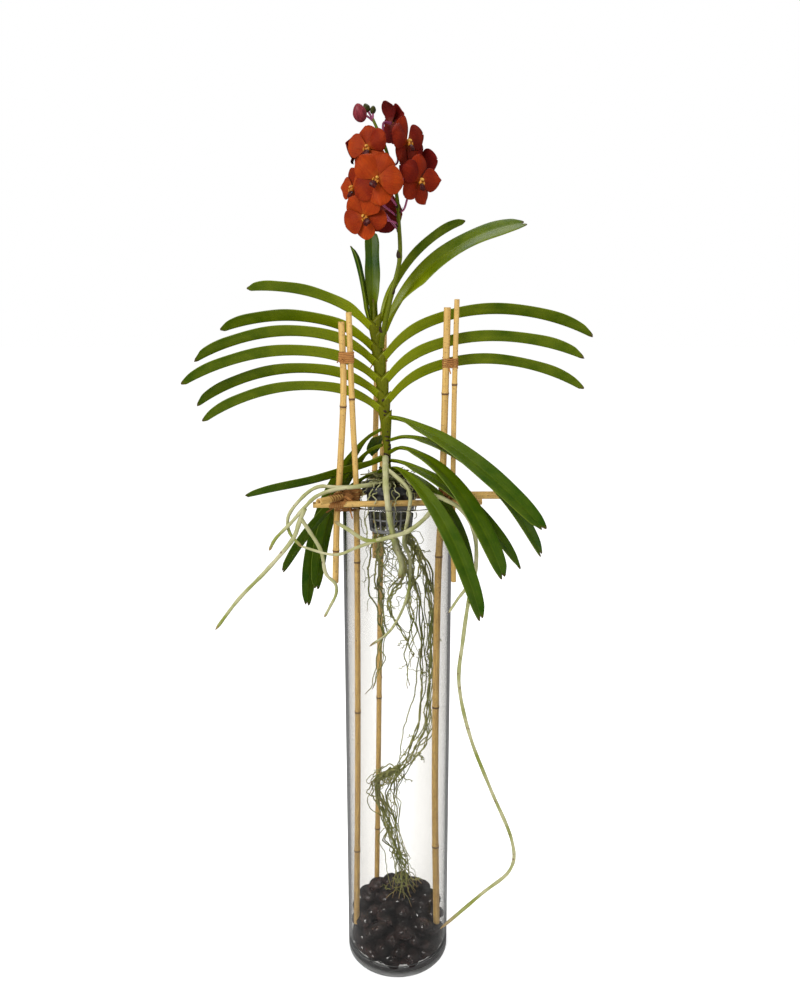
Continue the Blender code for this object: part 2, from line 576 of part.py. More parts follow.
def leaf_frame(spec, steps, foot):
    """Points, directions and side vectors along a leaf's keel, with its foot so far from the stem's axis."""
    height, heading, length, rise, slope, bend = spec[:6]
    sweep = spec[9]
    turn = math.radians(heading)
    outward = Vector((math.cos(turn), math.sin(turn) * SHEATH_FLATNESS, 0))
    place = stem_point(height) + outward * LEAF_START
    drop = (LEAF_START - foot) * max(-0.5, min(1.0, math.tan(math.radians(rise))))
    points = [stem_point(height) + outward * foot - Vector((0, 0, drop))]
    directions = []
    sides = []
    for k in range(steps):
        along = (k + 0.5) / steps
        angle = math.radians(rise + (slope - rise) * along ** bend)
        turn = math.radians(heading + sweep * along)
        out = Vector((math.cos(turn), math.sin(turn), 0))
        direction = out * math.cos(angle) + Vector((0, 0, math.sin(angle)))
        directions.append(direction)
        sides.append(Vector((-math.sin(turn), math.cos(turn), 0)))
        place = place + direction * (length / steps)
        points.append(place.copy())
    return points, directions + directions[-1:], sides + sides[-1:]


def leaf_blade(name, spec, foot, collection, material):
    """A strap leaf folded along its keel, as a thickened grid."""
    width, near_fold, far_fold = spec[6:9]
    fine = 8
    points, directions, sides = leaf_frame(spec, LEAF_SEGMENTS * fine, foot)
    rising = 1 if directions[0].cross(sides[0]).z > 0 else -1
    bm = bmesh.new()
    bmesh.ops.create_grid(bm, x_segments=LEAF_SEGMENTS, y_segments=2, size=1.0)
    for vert in bm.verts:
        along = (vert.co.x + 1) / 2
        across = vert.co.y
        index = round(along * LEAF_SEGMENTS * fine)
        side = sides[index]
        lift = directions[index].cross(side).normalized() * rising
        fold = near_fold if across * side.y < 0 else far_fold
        fold = math.radians(LEAF_BASE_FOLD + (fold - LEAF_BASE_FOLD) * min(1, along / 0.25))
        half = width / 2 * (0.50 + 0.50 * min(1, along / 0.25)) * (1 - 0.62 * max(0, (along - 0.78) / 0.22) ** 2)
        spread = side * (across * math.cos(fold)) + lift * (abs(across) * math.sin(fold))
        vert.co = points[index] + spread * half
    obj = link_mesh(name, bm, collection, material)
    solid = obj.modifiers.new("thickness", "SOLIDIFY")
    solid.thickness = LEAF_THICKNESS
    solid.offset = 0.0
    solid.use_even_offset = True
    return obj


def surface_tree(obj):
    """The final surface of an object, ready for overlap tests."""
    depsgraph = bpy.context.evaluated_depsgraph_get()
    bm = bmesh.new()
    bm.from_object(obj, depsgraph)
    bmesh.ops.triangulate(bm, faces=bm.faces)
    tree = BVHTree.FromBMesh(bm)
    bm.free()
    return tree


def build_leaves(stem, collection):
    """Each leaf's foot is moved out from the stem until it just clears it."""
    material = make_material("leaf_green", (0.10, 0.17, 0.02), 0.45)
    stem_surface = surface_tree(stem)
    for name, spec in LEAVES.items():
        foot = STEM_BARE_RADIUS
        leaf = leaf_blade(name, spec, foot, collection, material)
        while surface_tree(leaf).overlap(stem_surface):
            bpy.data.objects.remove(leaf, do_unlink=True)
            foot += SEAT_GAP
            leaf = leaf_blade(name, spec, foot, collection, material)


def ellipsoid(name, centre, size, turn, collection, subdivisions=1):
    bm = bmesh.new()
    bmesh.ops.create_icosphere(bm, subdivisions=subdivisions, radius=1.0)
    bmesh.ops.scale(bm, vec=size, verts=bm.verts)
    bmesh.ops.transform(bm, matrix=Matrix.Translation(centre) @ turn, verts=bm.verts)
    return link_mesh(name, bm, collection)


def build_spike(collection):
    """The flower spike with the closed buds at its tip."""
    route = smooth_route(SPIKE_ROUTE, 2)
    last = len(route) - 1
    radii = [SPIKE_FOOT_RADIUS + (SPIKE_TIP_RADIUS - SPIKE_FOOT_RADIUS) * i / last for i in range(last + 1)]
    pieces = [as_mesh(tube("flower_spike", route, radii, collection))]
    tip = route[-1]
    buds = [((-0.0160, -0.006, 0.0060), 0.0095, 0.0102), ((-0.0080, 0.002, 0.0135), 0.0042, 0.0052),
            ((0.0000, 0.001, 0.0110), 0.0036, 0.0048)]
    for offset, radius, reach in buds:
        offset = Vector(offset)
        turn = offset.to_track_quat("Z", "Y").to_matrix().to_4x4()
        pieces.append(ellipsoid("bud", tip + offset, (radius, radius, reach), turn, collection, 2 if radius > 0.006 else 1))
        pieces.append(rod("bud_stalk", tip - Vector((0, 0, 0.002)), tip + offset, 0.0011, collection, 6))
    material = make_material("spike_green", (0.12, 0.18, 0.03), 0.45)
    return combine("flower_spike", pieces, collection, material)


def tepal(name, length, width, height, lift, angle, collection):
    """One petal or sepal: a grid drawn out along local +Y, waisted at its foot and gently cupped."""
    bm = bmesh.new()
    bmesh.ops.create_grid(bm, x_segments=2, y_segments=3, size=1.0)
    for vert in bm.verts:
        across = vert.co.x
        along = (vert.co.y + 1) / 2
        full = 0.12 + 0.88 * math.sin(math.pi / 2 * min(1, 1.6 * along)) - 0.52 * max(0, (along - 0.6) / 0.4) ** 2
        reach = TEPAL_START + (length - TEPAL_START) * along * (0.90 + 0.10 * (1 - across * across))
        vert.co = (across * full * width / 2, reach, height + lift * along - 0.06 * width * abs(across) * along)
    bmesh.ops.rotate(bm, cent=(0, 0, 0), matrix=Matrix.Rotation(math.radians(angle), 3, "Z"), verts=bm.verts)
    obj = link_mesh(name, bm, collection)
    solid = obj.modifiers.new("thickness", "SOLIDIFY")
    solid.thickness = TEPAL_THICKNESS
    solid.offset = 0.0
    return as_mesh(obj)


def build_pedicel(start, out, centre, facing, collection):
    """The flower's stalk: it leaves the spike outward, rises and comes to the flower from behind."""
    rising = start + out * PEDICEL_STEP_OUT + Vector((0, 0, PEDICEL_STEP_UP))
    route = smooth_route([start, rising, centre - facing * PEDICEL_BACK, centre - facing * PEDICEL_SINK], 2)
    return as_mesh(tube("pedicel", route, [PEDICEL_RADIUS] * len(route), collection, resolution=0))


def build_bloom(name, spec, spike_surface, collection, material):
    """Five tepals, a lip and a column on a pedicel whose foot just clears the spike."""
    centre, heading, pitch, roll, span, foot_height = spec
    heading = math.radians(heading)
    pitch = math.radians(pitch)
    facing = Vector((math.cos(heading) * math.cos(pitch), math.sin(heading) * math.cos(pitch), math.sin(pitch)))
    turn = facing.to_track_quat("Z", "Y").to_matrix().to_4x4() @ Matrix.Rotation(math.radians(roll), 4, "Z")
    place = Matrix.Translation(centre) @ turn
    length = span * 0.50
    pieces = [ellipsoid("column", (0, 0, 0.0008), (0.0036, 0.0036, 0.0058), Matrix.Identity(4), collection)]
    for angle, reach, breadth, height, lift in TEPALS:
        pieces.append(tepal("tepal", length * reach, span * breadth, height, lift, angle, collection))
    pieces.append(ellipsoid("lip", (0, -0.0062, 0.0052), (0.0040, 0.0062, 0.0022),
                            Matrix.Rotation(-0.5, 4, "X"), collection))
    for piece in pieces:
        piece.data.transform(place)
    foot = point_at_height(smooth_route(SPIKE_ROUTE, 4), foot_height)
    centre = Vector(centre)
    back = centre - facing * PEDICEL_BACK
    out = Vector((back.x - foot.x, back.y - foot.y, 0)).normalized()
    reach = SPIKE_TIP_RADIUS
    pedicel = build_pedicel(foot + out * reach, out, centre, facing, collection)
    while surface_tree(pedicel).overlap(spike_surface):
        bpy.data.objects.remove(pedicel, do_unlink=True)
        reach += SEAT_GAP
        pedicel = build_pedicel(foot + out * reach, out, centre, facing, collection)
    combine(name, pieces + [pedicel], collection, material)


def build_blooms(spike, collection):
    material = make_material("bloom_orange_red", (0.45, 0.05, 0.015), 0.45)
    spike_surface = surface_tree(spike)
    for name, spec in BLOOMS.items():
        build_bloom(name, spec, spike_surface, collection, material)


def root_strand(name, spec, collection):
    points, start_radius, tip_radius = spec
    route = smooth_route(points, 2)
    last = len(route) - 1
    radii = [start_radius + (tip_radius - start_radius) * i / last for i in range(last + 1)]
    return as_mesh(tube(name, route, radii, collection, resolution=0 if start_radius < 0.0015 else 1))


def build_roots(collection):
    material = make_material("aerial_root", (0.45, 0.44, 0.27), 0.7)
    groups = {"roots_front": ROOT_FRONT, "roots_left": ROOT_LEFT, "roots_right": ROOT_RIGHT}
    for name, strands in groups.items():
        combine(name, [root_strand(name, spec, collection) for spec in strands], collection, material)
    ball = ellipsoid("fine_roots", ROOT_BALL_CENTRE, (ROOT_BALL_RADIUS, ROOT_BALL_RADIUS, ROOT_BALL_HALF_HEIGHT),
                     Matrix.Identity(4), collection, 2)
    strands = [root_strand("strand", (points, FINE_ROOT_RADIUS, FINE_ROOT_RADIUS * 0.7), collection)
               for points in FINE_ROOTS]
    combine("fine_roots", [ball] + strands, collection, make_material("fine_root", (0.20, 0.20, 0.08), 0.8))


def main():
    clear_scene()
    collection = make_collection("vanda_orchid_in_glass")
    build_glass(collection)
    build_canes(collection)
    build_pebbles(collection, list(INNER_CANES.values()))
    build_raffia(collection)
    build_pot(collection)
    stem = build_stem(collection)
    build_leaves(stem, collection)
    spike = build_spike(collection)
    build_blooms(spike, collection)
    build_roots(collection)


main()
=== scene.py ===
# %% [markdown]
# # A vanda orchid in a tall glass
#
# The real thing is a living vanda plant. Its small net pot is held by a frame of bamboo canes at the mouth
# of a clear glass cylinder, with dark pebbles at the bottom and the roots hanging free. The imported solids
# give every piece its place, so each step below makes one piece of the look and sets it on the solid it
# stands for.

# %% Load the fixed frame
import math
import random

import bmesh
import bpy
from mathutils import Matrix, Vector


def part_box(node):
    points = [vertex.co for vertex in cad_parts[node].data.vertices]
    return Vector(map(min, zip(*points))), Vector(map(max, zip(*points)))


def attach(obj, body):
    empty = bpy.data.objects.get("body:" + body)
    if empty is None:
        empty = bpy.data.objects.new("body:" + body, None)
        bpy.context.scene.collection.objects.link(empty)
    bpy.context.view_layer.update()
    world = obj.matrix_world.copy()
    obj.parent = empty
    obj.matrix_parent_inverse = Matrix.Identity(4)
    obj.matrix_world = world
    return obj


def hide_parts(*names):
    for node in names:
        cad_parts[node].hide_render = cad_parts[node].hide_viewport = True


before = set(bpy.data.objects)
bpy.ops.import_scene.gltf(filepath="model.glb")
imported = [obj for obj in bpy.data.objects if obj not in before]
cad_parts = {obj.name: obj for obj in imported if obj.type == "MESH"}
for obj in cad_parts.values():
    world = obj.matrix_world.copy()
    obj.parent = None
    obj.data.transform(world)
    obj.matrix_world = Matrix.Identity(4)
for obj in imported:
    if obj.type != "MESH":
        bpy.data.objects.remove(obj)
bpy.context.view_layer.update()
scene_collection = bpy.context.scene.collection

# %% [markdown]
# ## Camera
#
# The photograph was taken from a little above the rim, looking slightly down, with the whole vase in view.
# The lens and the tilt below make the glass's two edges, its rim and its foot fall where the photograph has
# them.

# %% Set up the camera
CAMERA_TILT_DOWN = 12.06
camera_data = bpy.data.cameras.new("camera")
camera_data.sensor_width = 36
camera_data.lens = 30.04
camera = bpy.data.objects.new("camera", camera_data)
camera.location = (0.0035, -1.12, 0.938)
camera.rotation_euler = (math.radians(90 - CAMERA_TILT_DOWN), 0, 0)
scene_collection.objects.link(camera)
bpy.context.scene.camera = camera
print("camera looks down by", CAMERA_TILT_DOWN, "degrees")

# %% [markdown]
# ## Helpers for shapes
#
# Stems, canes, roots and raffia are all something drawn along a line. One helper sweeps a ring of points
# along a route by extruding it from station to station. It also notes on every point where it would be if
# the piece were pulled straight. The materials read that note, so grain and streaks follow each bend of the
# piece.

# %% Draw smooth routes
def smooth_route(points, pieces):
    """Points along a smooth curve through the given ones, with so many pieces between each two."""
    points = [Vector(p) for p in points]
    padded = [2 * points[0] - points[1]] + points + [2 * points[-1] - points[-2]]
    route = []
    for i in range(1, len(padded) - 2):
        before, start, end, after = padded[i - 1:i + 3]
        for k in range(pieces):
            t = k / pieces
            route.append(0.5 * ((2 * start) + (end - before) * t
                                + (2 * before - 5 * start + 4 * end - after) * t * t
                                + (3 * start - before - 3 * end + after) * t ** 3))
    route.append(points[-1])
    return route


def at_height(route, z):
    """Where a route that rises or falls all the way crosses the height z."""
    for a, b in zip(route, route[1:]):
        low, high = sorted((a[2], b[2]))
        if low <= z <= high:
            return Vector(a).lerp(Vector(b), (z - a[2]) / (b[2] - a[2]))
    return Vector(route[-1])


def stations(route, broad_sides=None):
    """One frame for each point: Z runs along the route, X follows the broad side or simply never spins."""
    frames = []
    side = None
    for i, place in enumerate(route):
        ahead = (route[min(i + 1, len(route) - 1)] - route[max(i - 1, 0)]).normalized()
        if broad_sides:
            side = Vector(broad_sides[i])
        elif side is None:
            side = ahead.orthogonal()
        side = (side - ahead * side.dot(ahead)).normalized()
        turn = Matrix((side, ahead.cross(side), ahead)).transposed().to_4x4()
        frames.append(Matrix.Translation(place) @ turn)
    return frames


print("route helpers ready")


# %% Sweep a ring along a route
def layers(bm):
    """The two notes that every point carries: its place on the straightened piece, and its shares."""
    straight = bm.verts.layers.float_vector.get("straight") or bm.verts.layers.float_vector.new("straight")
    share = bm.verts.layers.float_vector.get("share") or bm.verts.layers.float_vector.new("share")
    return straight, share


def sweep(route, radii, sides=12, flat=1.0, broad_sides=None, marks=None, note=0.0):
    """A closed round or flattened bar along the route. A mark is a number from 0 to 1 for each station."""
    route = [Vector(p) for p in route]
    frames = stations(route, broad_sides)
    lengths = [0.0]
    for a, b in zip(route, route[1:]):
        lengths.append(lengths[-1] + (b - a).length)
    bm = bmesh.new()
    straight, share = layers(bm)
    ring = bmesh.ops.create_circle(bm, cap_ends=False, segments=sides, radius=1.0)["verts"]
    unit = {}
    edges = list({edge for vert in ring for edge in vert.link_edges})
    first_edges = edges
    for vert in ring:
        unit[vert] = vert.co.copy()
    for i, frame_here in enumerate(frames):
        if i > 0:
            grown = bmesh.ops.extrude_edge_only(bm, edges=edges)["geom"]
            new_ring = [g for g in grown if isinstance(g, bmesh.types.BMVert)]
            edges = [g for g in grown if isinstance(g, bmesh.types.BMEdge) and g.is_boundary]
            for vert in new_ring:
                unit[vert] = vert[straight].copy()
            ring = new_ring
        for vert in ring:
            around = unit[vert] if i == 0 else Vector((unit[vert].x, unit[vert].y, 0)).normalized()
            local = Vector((around.x * radii[i], around.y * radii[i] * flat, 0))
            vert.co = frame_here @ local
            vert[straight] = (around.x * radii[i], around.y * radii[i], lengths[i])
            vert[share] = (marks[i] if marks else 0.0, note, lengths[i] / lengths[-1])
    bmesh.ops.edgeloop_fill(bm, edges=first_edges)
    bmesh.ops.edgeloop_fill(bm, edges=edges)
    bmesh.ops.recalc_face_normals(bm, faces=bm.faces)
    return bm


def gather(parts):
    """Join several bmeshes into one and keep their notes."""
    whole = bmesh.new()
    layers(whole)
    for part in parts:
        carrier = bpy.data.meshes.new("carrier")
        part.to_mesh(carrier)
        part.free()
        whole.from_mesh(carrier)
        bpy.data.meshes.remove(carrier)
    return whole


def moved(bm, matrix):
    """The same bmesh, moved and turned by the matrix."""
    bmesh.ops.transform(bm, matrix=matrix, verts=bm.verts)
    return bm


def raised(z):
    """A step straight up."""
    return Vector((0, 0, z))


def on_circle(reach, angle, height=0.0):
    """A point at an angle round the upright axis."""
    return Vector((reach * math.cos(angle), reach * math.sin(angle), height))


def random_vector(draw, x, y=None, z=None):
    """Three draws, each between minus and plus its own limit."""
    y = x if y is None else y
    z = x if z is None else z
    return Vector((draw.uniform(-x, x), draw.uniform(-y, y), draw.uniform(-z, z)))


def gauss_vector(draw, sideways=1.0, z=1.0):
    """Three draws that gather near zero."""
    return Vector((draw.gauss(0, sideways), draw.gauss(0, sideways), draw.gauss(0, z)))


def finish_piece(name, bm, materials, nodes, smooth=True):
    """Make the bmesh an object that rides on the plant's one body and stands for the given solids."""
    mesh = bpy.data.meshes.new(name)
    bm.to_mesh(mesh)
    bm.free()
    for material in materials:
        mesh.materials.append(material)
    for polygon in mesh.polygons:
        polygon.use_smooth = smooth
    piece = bpy.data.objects.new(name, mesh)
    scene_collection.objects.link(piece)
    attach(piece, "root")
    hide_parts(*nodes)
    print(name, "has", len(mesh.polygons), "faces")
    return piece


def add_subdivision(piece, levels=1):
    """Round a piece off with live subdivision, the same in the view and in the render."""
    modifier = piece.modifiers.new("rounding", "SUBSURF")
    modifier.levels = levels
    modifier.render_levels = levels


def add_wall(piece, thickness, offset=0.0):
    """Give a sheet its thickness. The second material slot, if there is one, dresses its back."""
    modifier = piece.modifiers.new("thickness", "SOLIDIFY")
    modifier.thickness = thickness
    modifier.offset = offset
    modifier.use_even_offset = False
    if len(piece.data.materials) > 1:
        modifier.material_offset = 1


# %% [markdown]
# ## Helpers for materials
#
# Every finish is built from the same few effects: long streaks that run with the piece, soft blotches, and
# small spots. Each effect is a node group with named sockets, made once here. It only puts out a mask, and
# each material decides what the mask does to its own colour, roughness and bump.

# %% Node helpers
def put(tree, kind, inputs=None, **settings):
    """Add a node, set its options, and fill or link its inputs."""
    node = tree.nodes.new(kind)
    for key, value in settings.items():
        setattr(node, key, value)
    for key, value in (inputs or {}).items():
        if isinstance(value, bpy.types.NodeSocket):
            tree.links.new(value, node.inputs[key])
        else:
            node.inputs[key].default_value = value
    return node


def mask_group(name, numbers):
    """An empty effect group with a Vector input, the named number inputs and one Mask output."""
    tree = bpy.data.node_groups.new(name, "ShaderNodeTree")
    tree.interface.new_socket(name="Vector", in_out="INPUT", socket_type="NodeSocketVector")
    for number_name, value in numbers.items():
        made = tree.interface.new_socket(name=number_name, in_out="INPUT", socket_type="NodeSocketFloat")
        made.default_value = value
    tree.interface.new_socket(name="Mask", in_out="OUTPUT", socket_type="NodeSocketFloat")
    return tree, put(tree, "NodeGroupInput"), put(tree, "NodeGroupOutput")


def remap(tree, value, low, high, start=0.0, end=1.0):
    """Stretch the part of a value between low and high over the given range."""
    node = put(tree, "ShaderNodeMapRange", {"Value": value, "From Min": low, "From Max": high,
                                            "To Min": start, "To Max": end})
    return node.outputs["Result"]


streaks, grain_in, grain_out = mask_group("long_streaks", {"Across": 900.0, "Along": 25.0})
stretch_axes = put(streaks, "ShaderNodeCombineXYZ", {"X": grain_in.outputs["Across"],
                                                     "Y": grain_in.outputs["Across"],
                                                     "Z": grain_in.outputs["Along"]})
stretched = put(streaks, "ShaderNodeVectorMath", {0: grain_in.outputs["Vector"], 1: stretch_axes.outputs[0]},
                operation="MULTIPLY")
streak_noise = put(streaks, "ShaderNodeTexNoise",
                   {"Vector": stretched.outputs[0], "Scale": 1.0, "Detail": 3.0})
streaks.links.new(remap(streaks, streak_noise.outputs["Fac"], 0.32, 0.68), grain_out.inputs["Mask"])

blotches, blot_in, blot_out = mask_group("soft_blotches", {"Scale": 60.0, "From": 0.4, "To": 0.6})
blot_noise = put(blotches, "ShaderNodeTexNoise", {"Vector": blot_in.outputs["Vector"],
                                                  "Scale": blot_in.outputs["Scale"], "Detail": 4.0})
blot_edge = put(blotches, "ShaderNodeMapRange", {"Value": blot_noise.outputs["Fac"],
                                                 "From Min": blot_in.outputs["From"],
                                                 "From Max": blot_in.outputs["To"]})
blotches.links.new(blot_edge.outputs["Result"], blot_out.inputs["Mask"])

specks, speck_in, speck_out = mask_group("small_specks", {"Scale": 400.0, "Size": 0.25})
speck_cells = put(specks, "ShaderNodeTexVoronoi", {"Vector": speck_in.outputs["Vector"],
                                                   "Scale": speck_in.outputs["Scale"]})
speck_edge = put(specks, "ShaderNodeMapRange", {"Value": speck_cells.outputs["Distance"],
                                                "From Min": speck_in.outputs["Size"], "From Max": 0.0})
specks.links.new(speck_edge.outputs["Result"], speck_out.inputs["Mask"])
print("effect groups:", streaks.name, blotches.name, specks.name)


# %% Material helpers
def start_material(name, roughness):
    """A new material with its tree and its Principled shader."""
    material = bpy.data.materials.new(name)
    material.use_nodes = True
    tree = material.node_tree
    shader = tree.nodes["Principled BSDF"]
    shader.inputs["Roughness"].default_value = roughness
    return material, tree, shader


def note_of(tree, name):
    """A note that the shape helpers left on the piece, as a vector."""
    return put(tree, "ShaderNodeAttribute", attribute_name=name).outputs["Vector"]


def object_place(tree):
    """Where each point is on the piece, in metres."""
    return put(tree, "ShaderNodeTexCoord").outputs["Object"]


def part_of(tree, vector, axis):
    """One number of a vector."""
    return put(tree, "ShaderNodeSeparateXYZ", {"Vector": vector}).outputs[axis]


def effect(tree, group, vector, **numbers):
    """Place an effect group with this material's own numbers."""
    node = tree.nodes.new("ShaderNodeGroup")
    node.node_tree = group
    tree.links.new(vector, node.inputs["Vector"])
    for key, value in numbers.items():
        node.inputs[key].default_value = value
    return node.outputs["Mask"]


def mix_colours(tree, mask, first, second):
    """Go from the first colour to the second where the mask is 1."""
    node = put(tree, "ShaderNodeMix", data_type="RGBA")
    for index, value in ((0, mask), (6, first), (7, second)):
        if isinstance(value, bpy.types.NodeSocket):
            tree.links.new(value, node.inputs[index])
        elif index:
            node.inputs[index].default_value = (*value, 1)
        else:
            node.inputs[index].default_value = value
    return node.outputs[2]


def multiply(tree, first, second):
    """The product of two numbers or masks."""
    return put(tree, "ShaderNodeMath", {0: first, 1: second}, operation="MULTIPLY").outputs[0]


def add(tree, first, second):
    """The sum of two numbers or masks, kept between 0 and 1."""
    return put(tree, "ShaderNodeMath", {0: first, 1: second}, operation="ADD", use_clamp=True).outputs[0]


def give_bump(tree, shader, height, distance, strength=1.0):
    """Roughen the surface with a height between 0 and 1."""
    node = put(tree, "ShaderNodeBump", {"Height": height, "Distance": distance, "Strength": strength})
    tree.links.new(node.outputs["Normal"], shader.inputs["Normal"])


def dress(tree, shader, colour, roughness=None, levels=None):
    """Send the finished colour, and a roughness that varies, to the shader and set its other levels."""
    tree.links.new(colour, shader.inputs["Base Color"])
    if roughness is not None:
        tree.links.new(roughness, shader.inputs["Roughness"])
    for key, value in (levels or {}).items():
        shader.inputs[key].default_value = value


print("material helpers ready")

# %% [markdown]
# ## Floor and light
#
# A pale studio has no hard shadows, so the light comes from a bright even surround and three large soft
# panels. The floor is one wide pale sheet. Floor and surround look white straight on and through the glass,
# and are dimmer in reflections.

# %% Brightness by kind of ray
def brightness_by_ray(tree, ray, direct, mirrored, mirrored_in_glass):
    """The direct value, or in reflections a dimmer one, which is higher where the ray goes through glass."""
    in_glass = put(tree, "ShaderNodeMath", {0: ray.outputs["Transmission Depth"],
                                            1: ray.outputs["Is Singular Ray"]}, operation="MAXIMUM")
    mirror = remap(tree, in_glass.outputs[0], 0, 1, mirrored, mirrored_in_glass)
    return remap(tree, ray.outputs["Glossy Depth"], 0, 1, direct, mirror)


print("brightness helper ready")

# %% Lay the floor
floor_bm = bmesh.new()
bmesh.ops.create_grid(floor_bm, x_segments=1, y_segments=1, size=30)
floor_mesh = bpy.data.meshes.new("floor")
floor_bm.to_mesh(floor_mesh)
floor_bm.free()
floor = bpy.data.objects.new("floor", floor_mesh)
scene_collection.objects.link(floor)
floor_material, floor_tree, floor_shader = start_material("pale_floor", 1.0)
floor_ray = put(floor_tree, "ShaderNodeLightPath")
floor_shade = brightness_by_ray(floor_tree, floor_ray, direct=0.99, mirrored=0.14, mirrored_in_glass=0.32)
bounced = put(floor_tree, "ShaderNodeMath", {0: floor_ray.outputs["Diffuse Depth"],
                                             1: floor_ray.outputs["Glossy Depth"]}, operation="MAXIMUM")
floor_glow = remap(floor_tree, bounced.outputs[0], 0, 1, 0.33, 0.0)
dress(floor_tree, floor_shader, floor_shade,
      levels={"Specular IOR Level": 0.0, "Emission Color": (1, 1, 1, 1)})
floor_tree.links.new(floor_glow, floor_shader.inputs["Emission Strength"])
floor_mesh.materials.append(floor_material)
print("floor laid at height 0")

# %% Hang the lights
world = bpy.context.scene.world or bpy.data.worlds.new("studio")
bpy.context.scene.world = world
world.use_nodes = True
sky_tree = world.node_tree
sky = sky_tree.nodes.get("Background") or sky_tree.nodes.new("ShaderNodeBackground")
sky.inputs["Color"].default_value = (1, 1, 1, 1)
sky_ray = put(sky_tree, "ShaderNodeLightPath")
# Light that has already bounced off something counts a little less, so the plant isn't washed out
sky_lighting = remap(sky_tree, sky_ray.outputs["Diffuse Depth"], 0, 1, 1.0, 0.72)
sky_strength = brightness_by_ray(sky_tree, sky_ray, sky_lighting, mirrored=0.16, mirrored_in_glass=0.32)
sky_tree.links.new(sky_strength, sky.inputs["Strength"])
bpy.context.scene.view_settings.view_transform = "Standard"


def soft_panel(name, place, target, width, height, power):
    """A large rectangular lamp that faces the target."""
    lamp = bpy.data.lights.new(name, "AREA")
    lamp.shape = "RECTANGLE"
    lamp.size = width
    lamp.size_y = height
    lamp.energy = power
    panel = bpy.data.objects.new(name, lamp)
    panel.location = place
    panel.rotation_euler = (Vector(target) - Vector(place)).to_track_quat("-Z", "Y").to_euler()
    scene_collection.objects.link(panel)


soft_panel("key_panel", (-1.3, -1.6, 2.2), (0, 0, 0.8), 0.8, 1.1, 40)
soft_panel("fill_panel", (1.9, -1.0, 1.3), (0, 0, 0.7), 0.8, 1.4, 4)
soft_panel("top_panel", (0.2, 0.6, 2.6), (0, 0, 0.6), 1.4, 1.4, 16)
print("three soft panels hung")

# %% [markdown]
# ## The glass cylinder
#
# The vase is a tube with one even wall, a soft rim and a thick heavy foot. Half of its outline is drawn once
# and spun a full turn. The many narrow facets then read as one smooth wall, which matters in glass because
# every flat place would bend the view of the roots inside.

# %% Clear glass
def make_clear_glass():
    """Clear glass that lets light through to what stands inside it."""
    material, tree, shader = start_material("clear_glass", 0.0)
    slant = put(tree, "ShaderNodeLayerWeight", {"Blend": 0.5})
    # Seen at a slant the wall turns greyer: partly the glass's tint over the longer path, partly painted
    # shade
    slant_tint_and_shade = remap(tree, slant.outputs["Facing"], 0.1, 0.23)
    band = mix_colours(tree, slant_tint_and_shade, (0.965, 0.965, 0.955), (0.79, 0.775, 0.75))
    rim_look = remap(tree, slant.outputs["Facing"], 0.42, 0.75)
    tint = mix_colours(tree, rim_look, band, (0.99, 0.985, 0.975))
    foot_blur = remap(tree, part_of(tree, object_place(tree), "Z"), 0.0135, 0.0105, 0.0, 0.42)
    dress(tree, shader, tint, foot_blur, {"Transmission Weight": 1.0, "IOR": 1.46})
    see_through = put(tree, "ShaderNodeBsdfTransparent", {"Color": (0.9, 0.91, 0.91, 1)})
    ray = put(tree, "ShaderNodeLightPath")
    either = put(tree, "ShaderNodeMixShader", {0: ray.outputs["Is Shadow Ray"], 1: shader.outputs[0],
                                               2: see_through.outputs[0]})
    tree.links.new(either.outputs[0], tree.nodes["Material Output"].inputs["Surface"])
    return material


clear_glass = make_clear_glass()
print("made", clear_glass.name)

# %% Spin the cylinder
GLASS_RADIUS = 0.075
GLASS_HEIGHT = 0.7
GLASS_WALL = 0.004
GLASS_FLOOR = 0.012
inner_radius = GLASS_RADIUS - GLASS_WALL
# Close pairs of points next to each curve keep its rounding from shading the long straight wall
wall_heights = [0.028, 0.029, 0.1, 0.2, 0.3, 0.4, 0.5, 0.6, 0.694, 0.696]
glass_outline = [
    (0, GLASS_FLOOR + 0.001), (0.045, GLASS_FLOOR), (inner_radius - 0.009, GLASS_FLOOR),
    (inner_radius - 0.003, GLASS_FLOOR + 0.002), (inner_radius - 0.0006, GLASS_FLOOR + 0.006),
    (inner_radius, GLASS_FLOOR + 0.012)]
glass_outline += [(inner_radius, z) for z in wall_heights]
glass_outline += [
    (inner_radius, GLASS_HEIGHT - 0.0016), (inner_radius + 0.0007, GLASS_HEIGHT - 0.0004),
    (inner_radius + 0.0018, GLASS_HEIGHT), (GLASS_RADIUS - 0.0007, GLASS_HEIGHT - 0.0004),
    (GLASS_RADIUS, GLASS_HEIGHT - 0.0016)]
glass_outline += [(GLASS_RADIUS, z) for z in reversed(wall_heights)]
glass_outline += [
    (GLASS_RADIUS, 0.008), (GLASS_RADIUS, 0.006), (GLASS_RADIUS - 0.0006, 0.003),
    (GLASS_RADIUS - 0.0022, 0.0008), (GLASS_RADIUS - 0.005, 0.0), (0.06, 0.0), (0.055, 0.0012), (0, 0.002)]
glass_bm = bmesh.new()
outline_verts = [glass_bm.verts.new((x, 0, z)) for x, z in glass_outline]
outline_edges = [glass_bm.edges.new(pair) for pair in zip(outline_verts, outline_verts[1:])]
bmesh.ops.spin(glass_bm, geom=outline_verts + outline_edges, cent=(0, 0, 0), axis=(0, 0, 1),
               angle=math.tau, steps=128, use_merge=True)
bmesh.ops.remove_doubles(glass_bm, verts=glass_bm.verts, dist=0.00002)
bmesh.ops.recalc_face_normals(glass_bm, faces=glass_bm.faces)
finish_piece("glass_vase", glass_bm, [clear_glass], ["glass_cylinder"])

# %% [markdown]
# ## River pebbles
#
# The bottom is filled with dark polished stones about as long as a thumb joint. Each stone is a ball that
# is squeezed, tilted and gently dented, so no two are alike. They lie in rings from the floor up, as poured
# stones do, and the few on top make the low heap that the fine roots rest on.

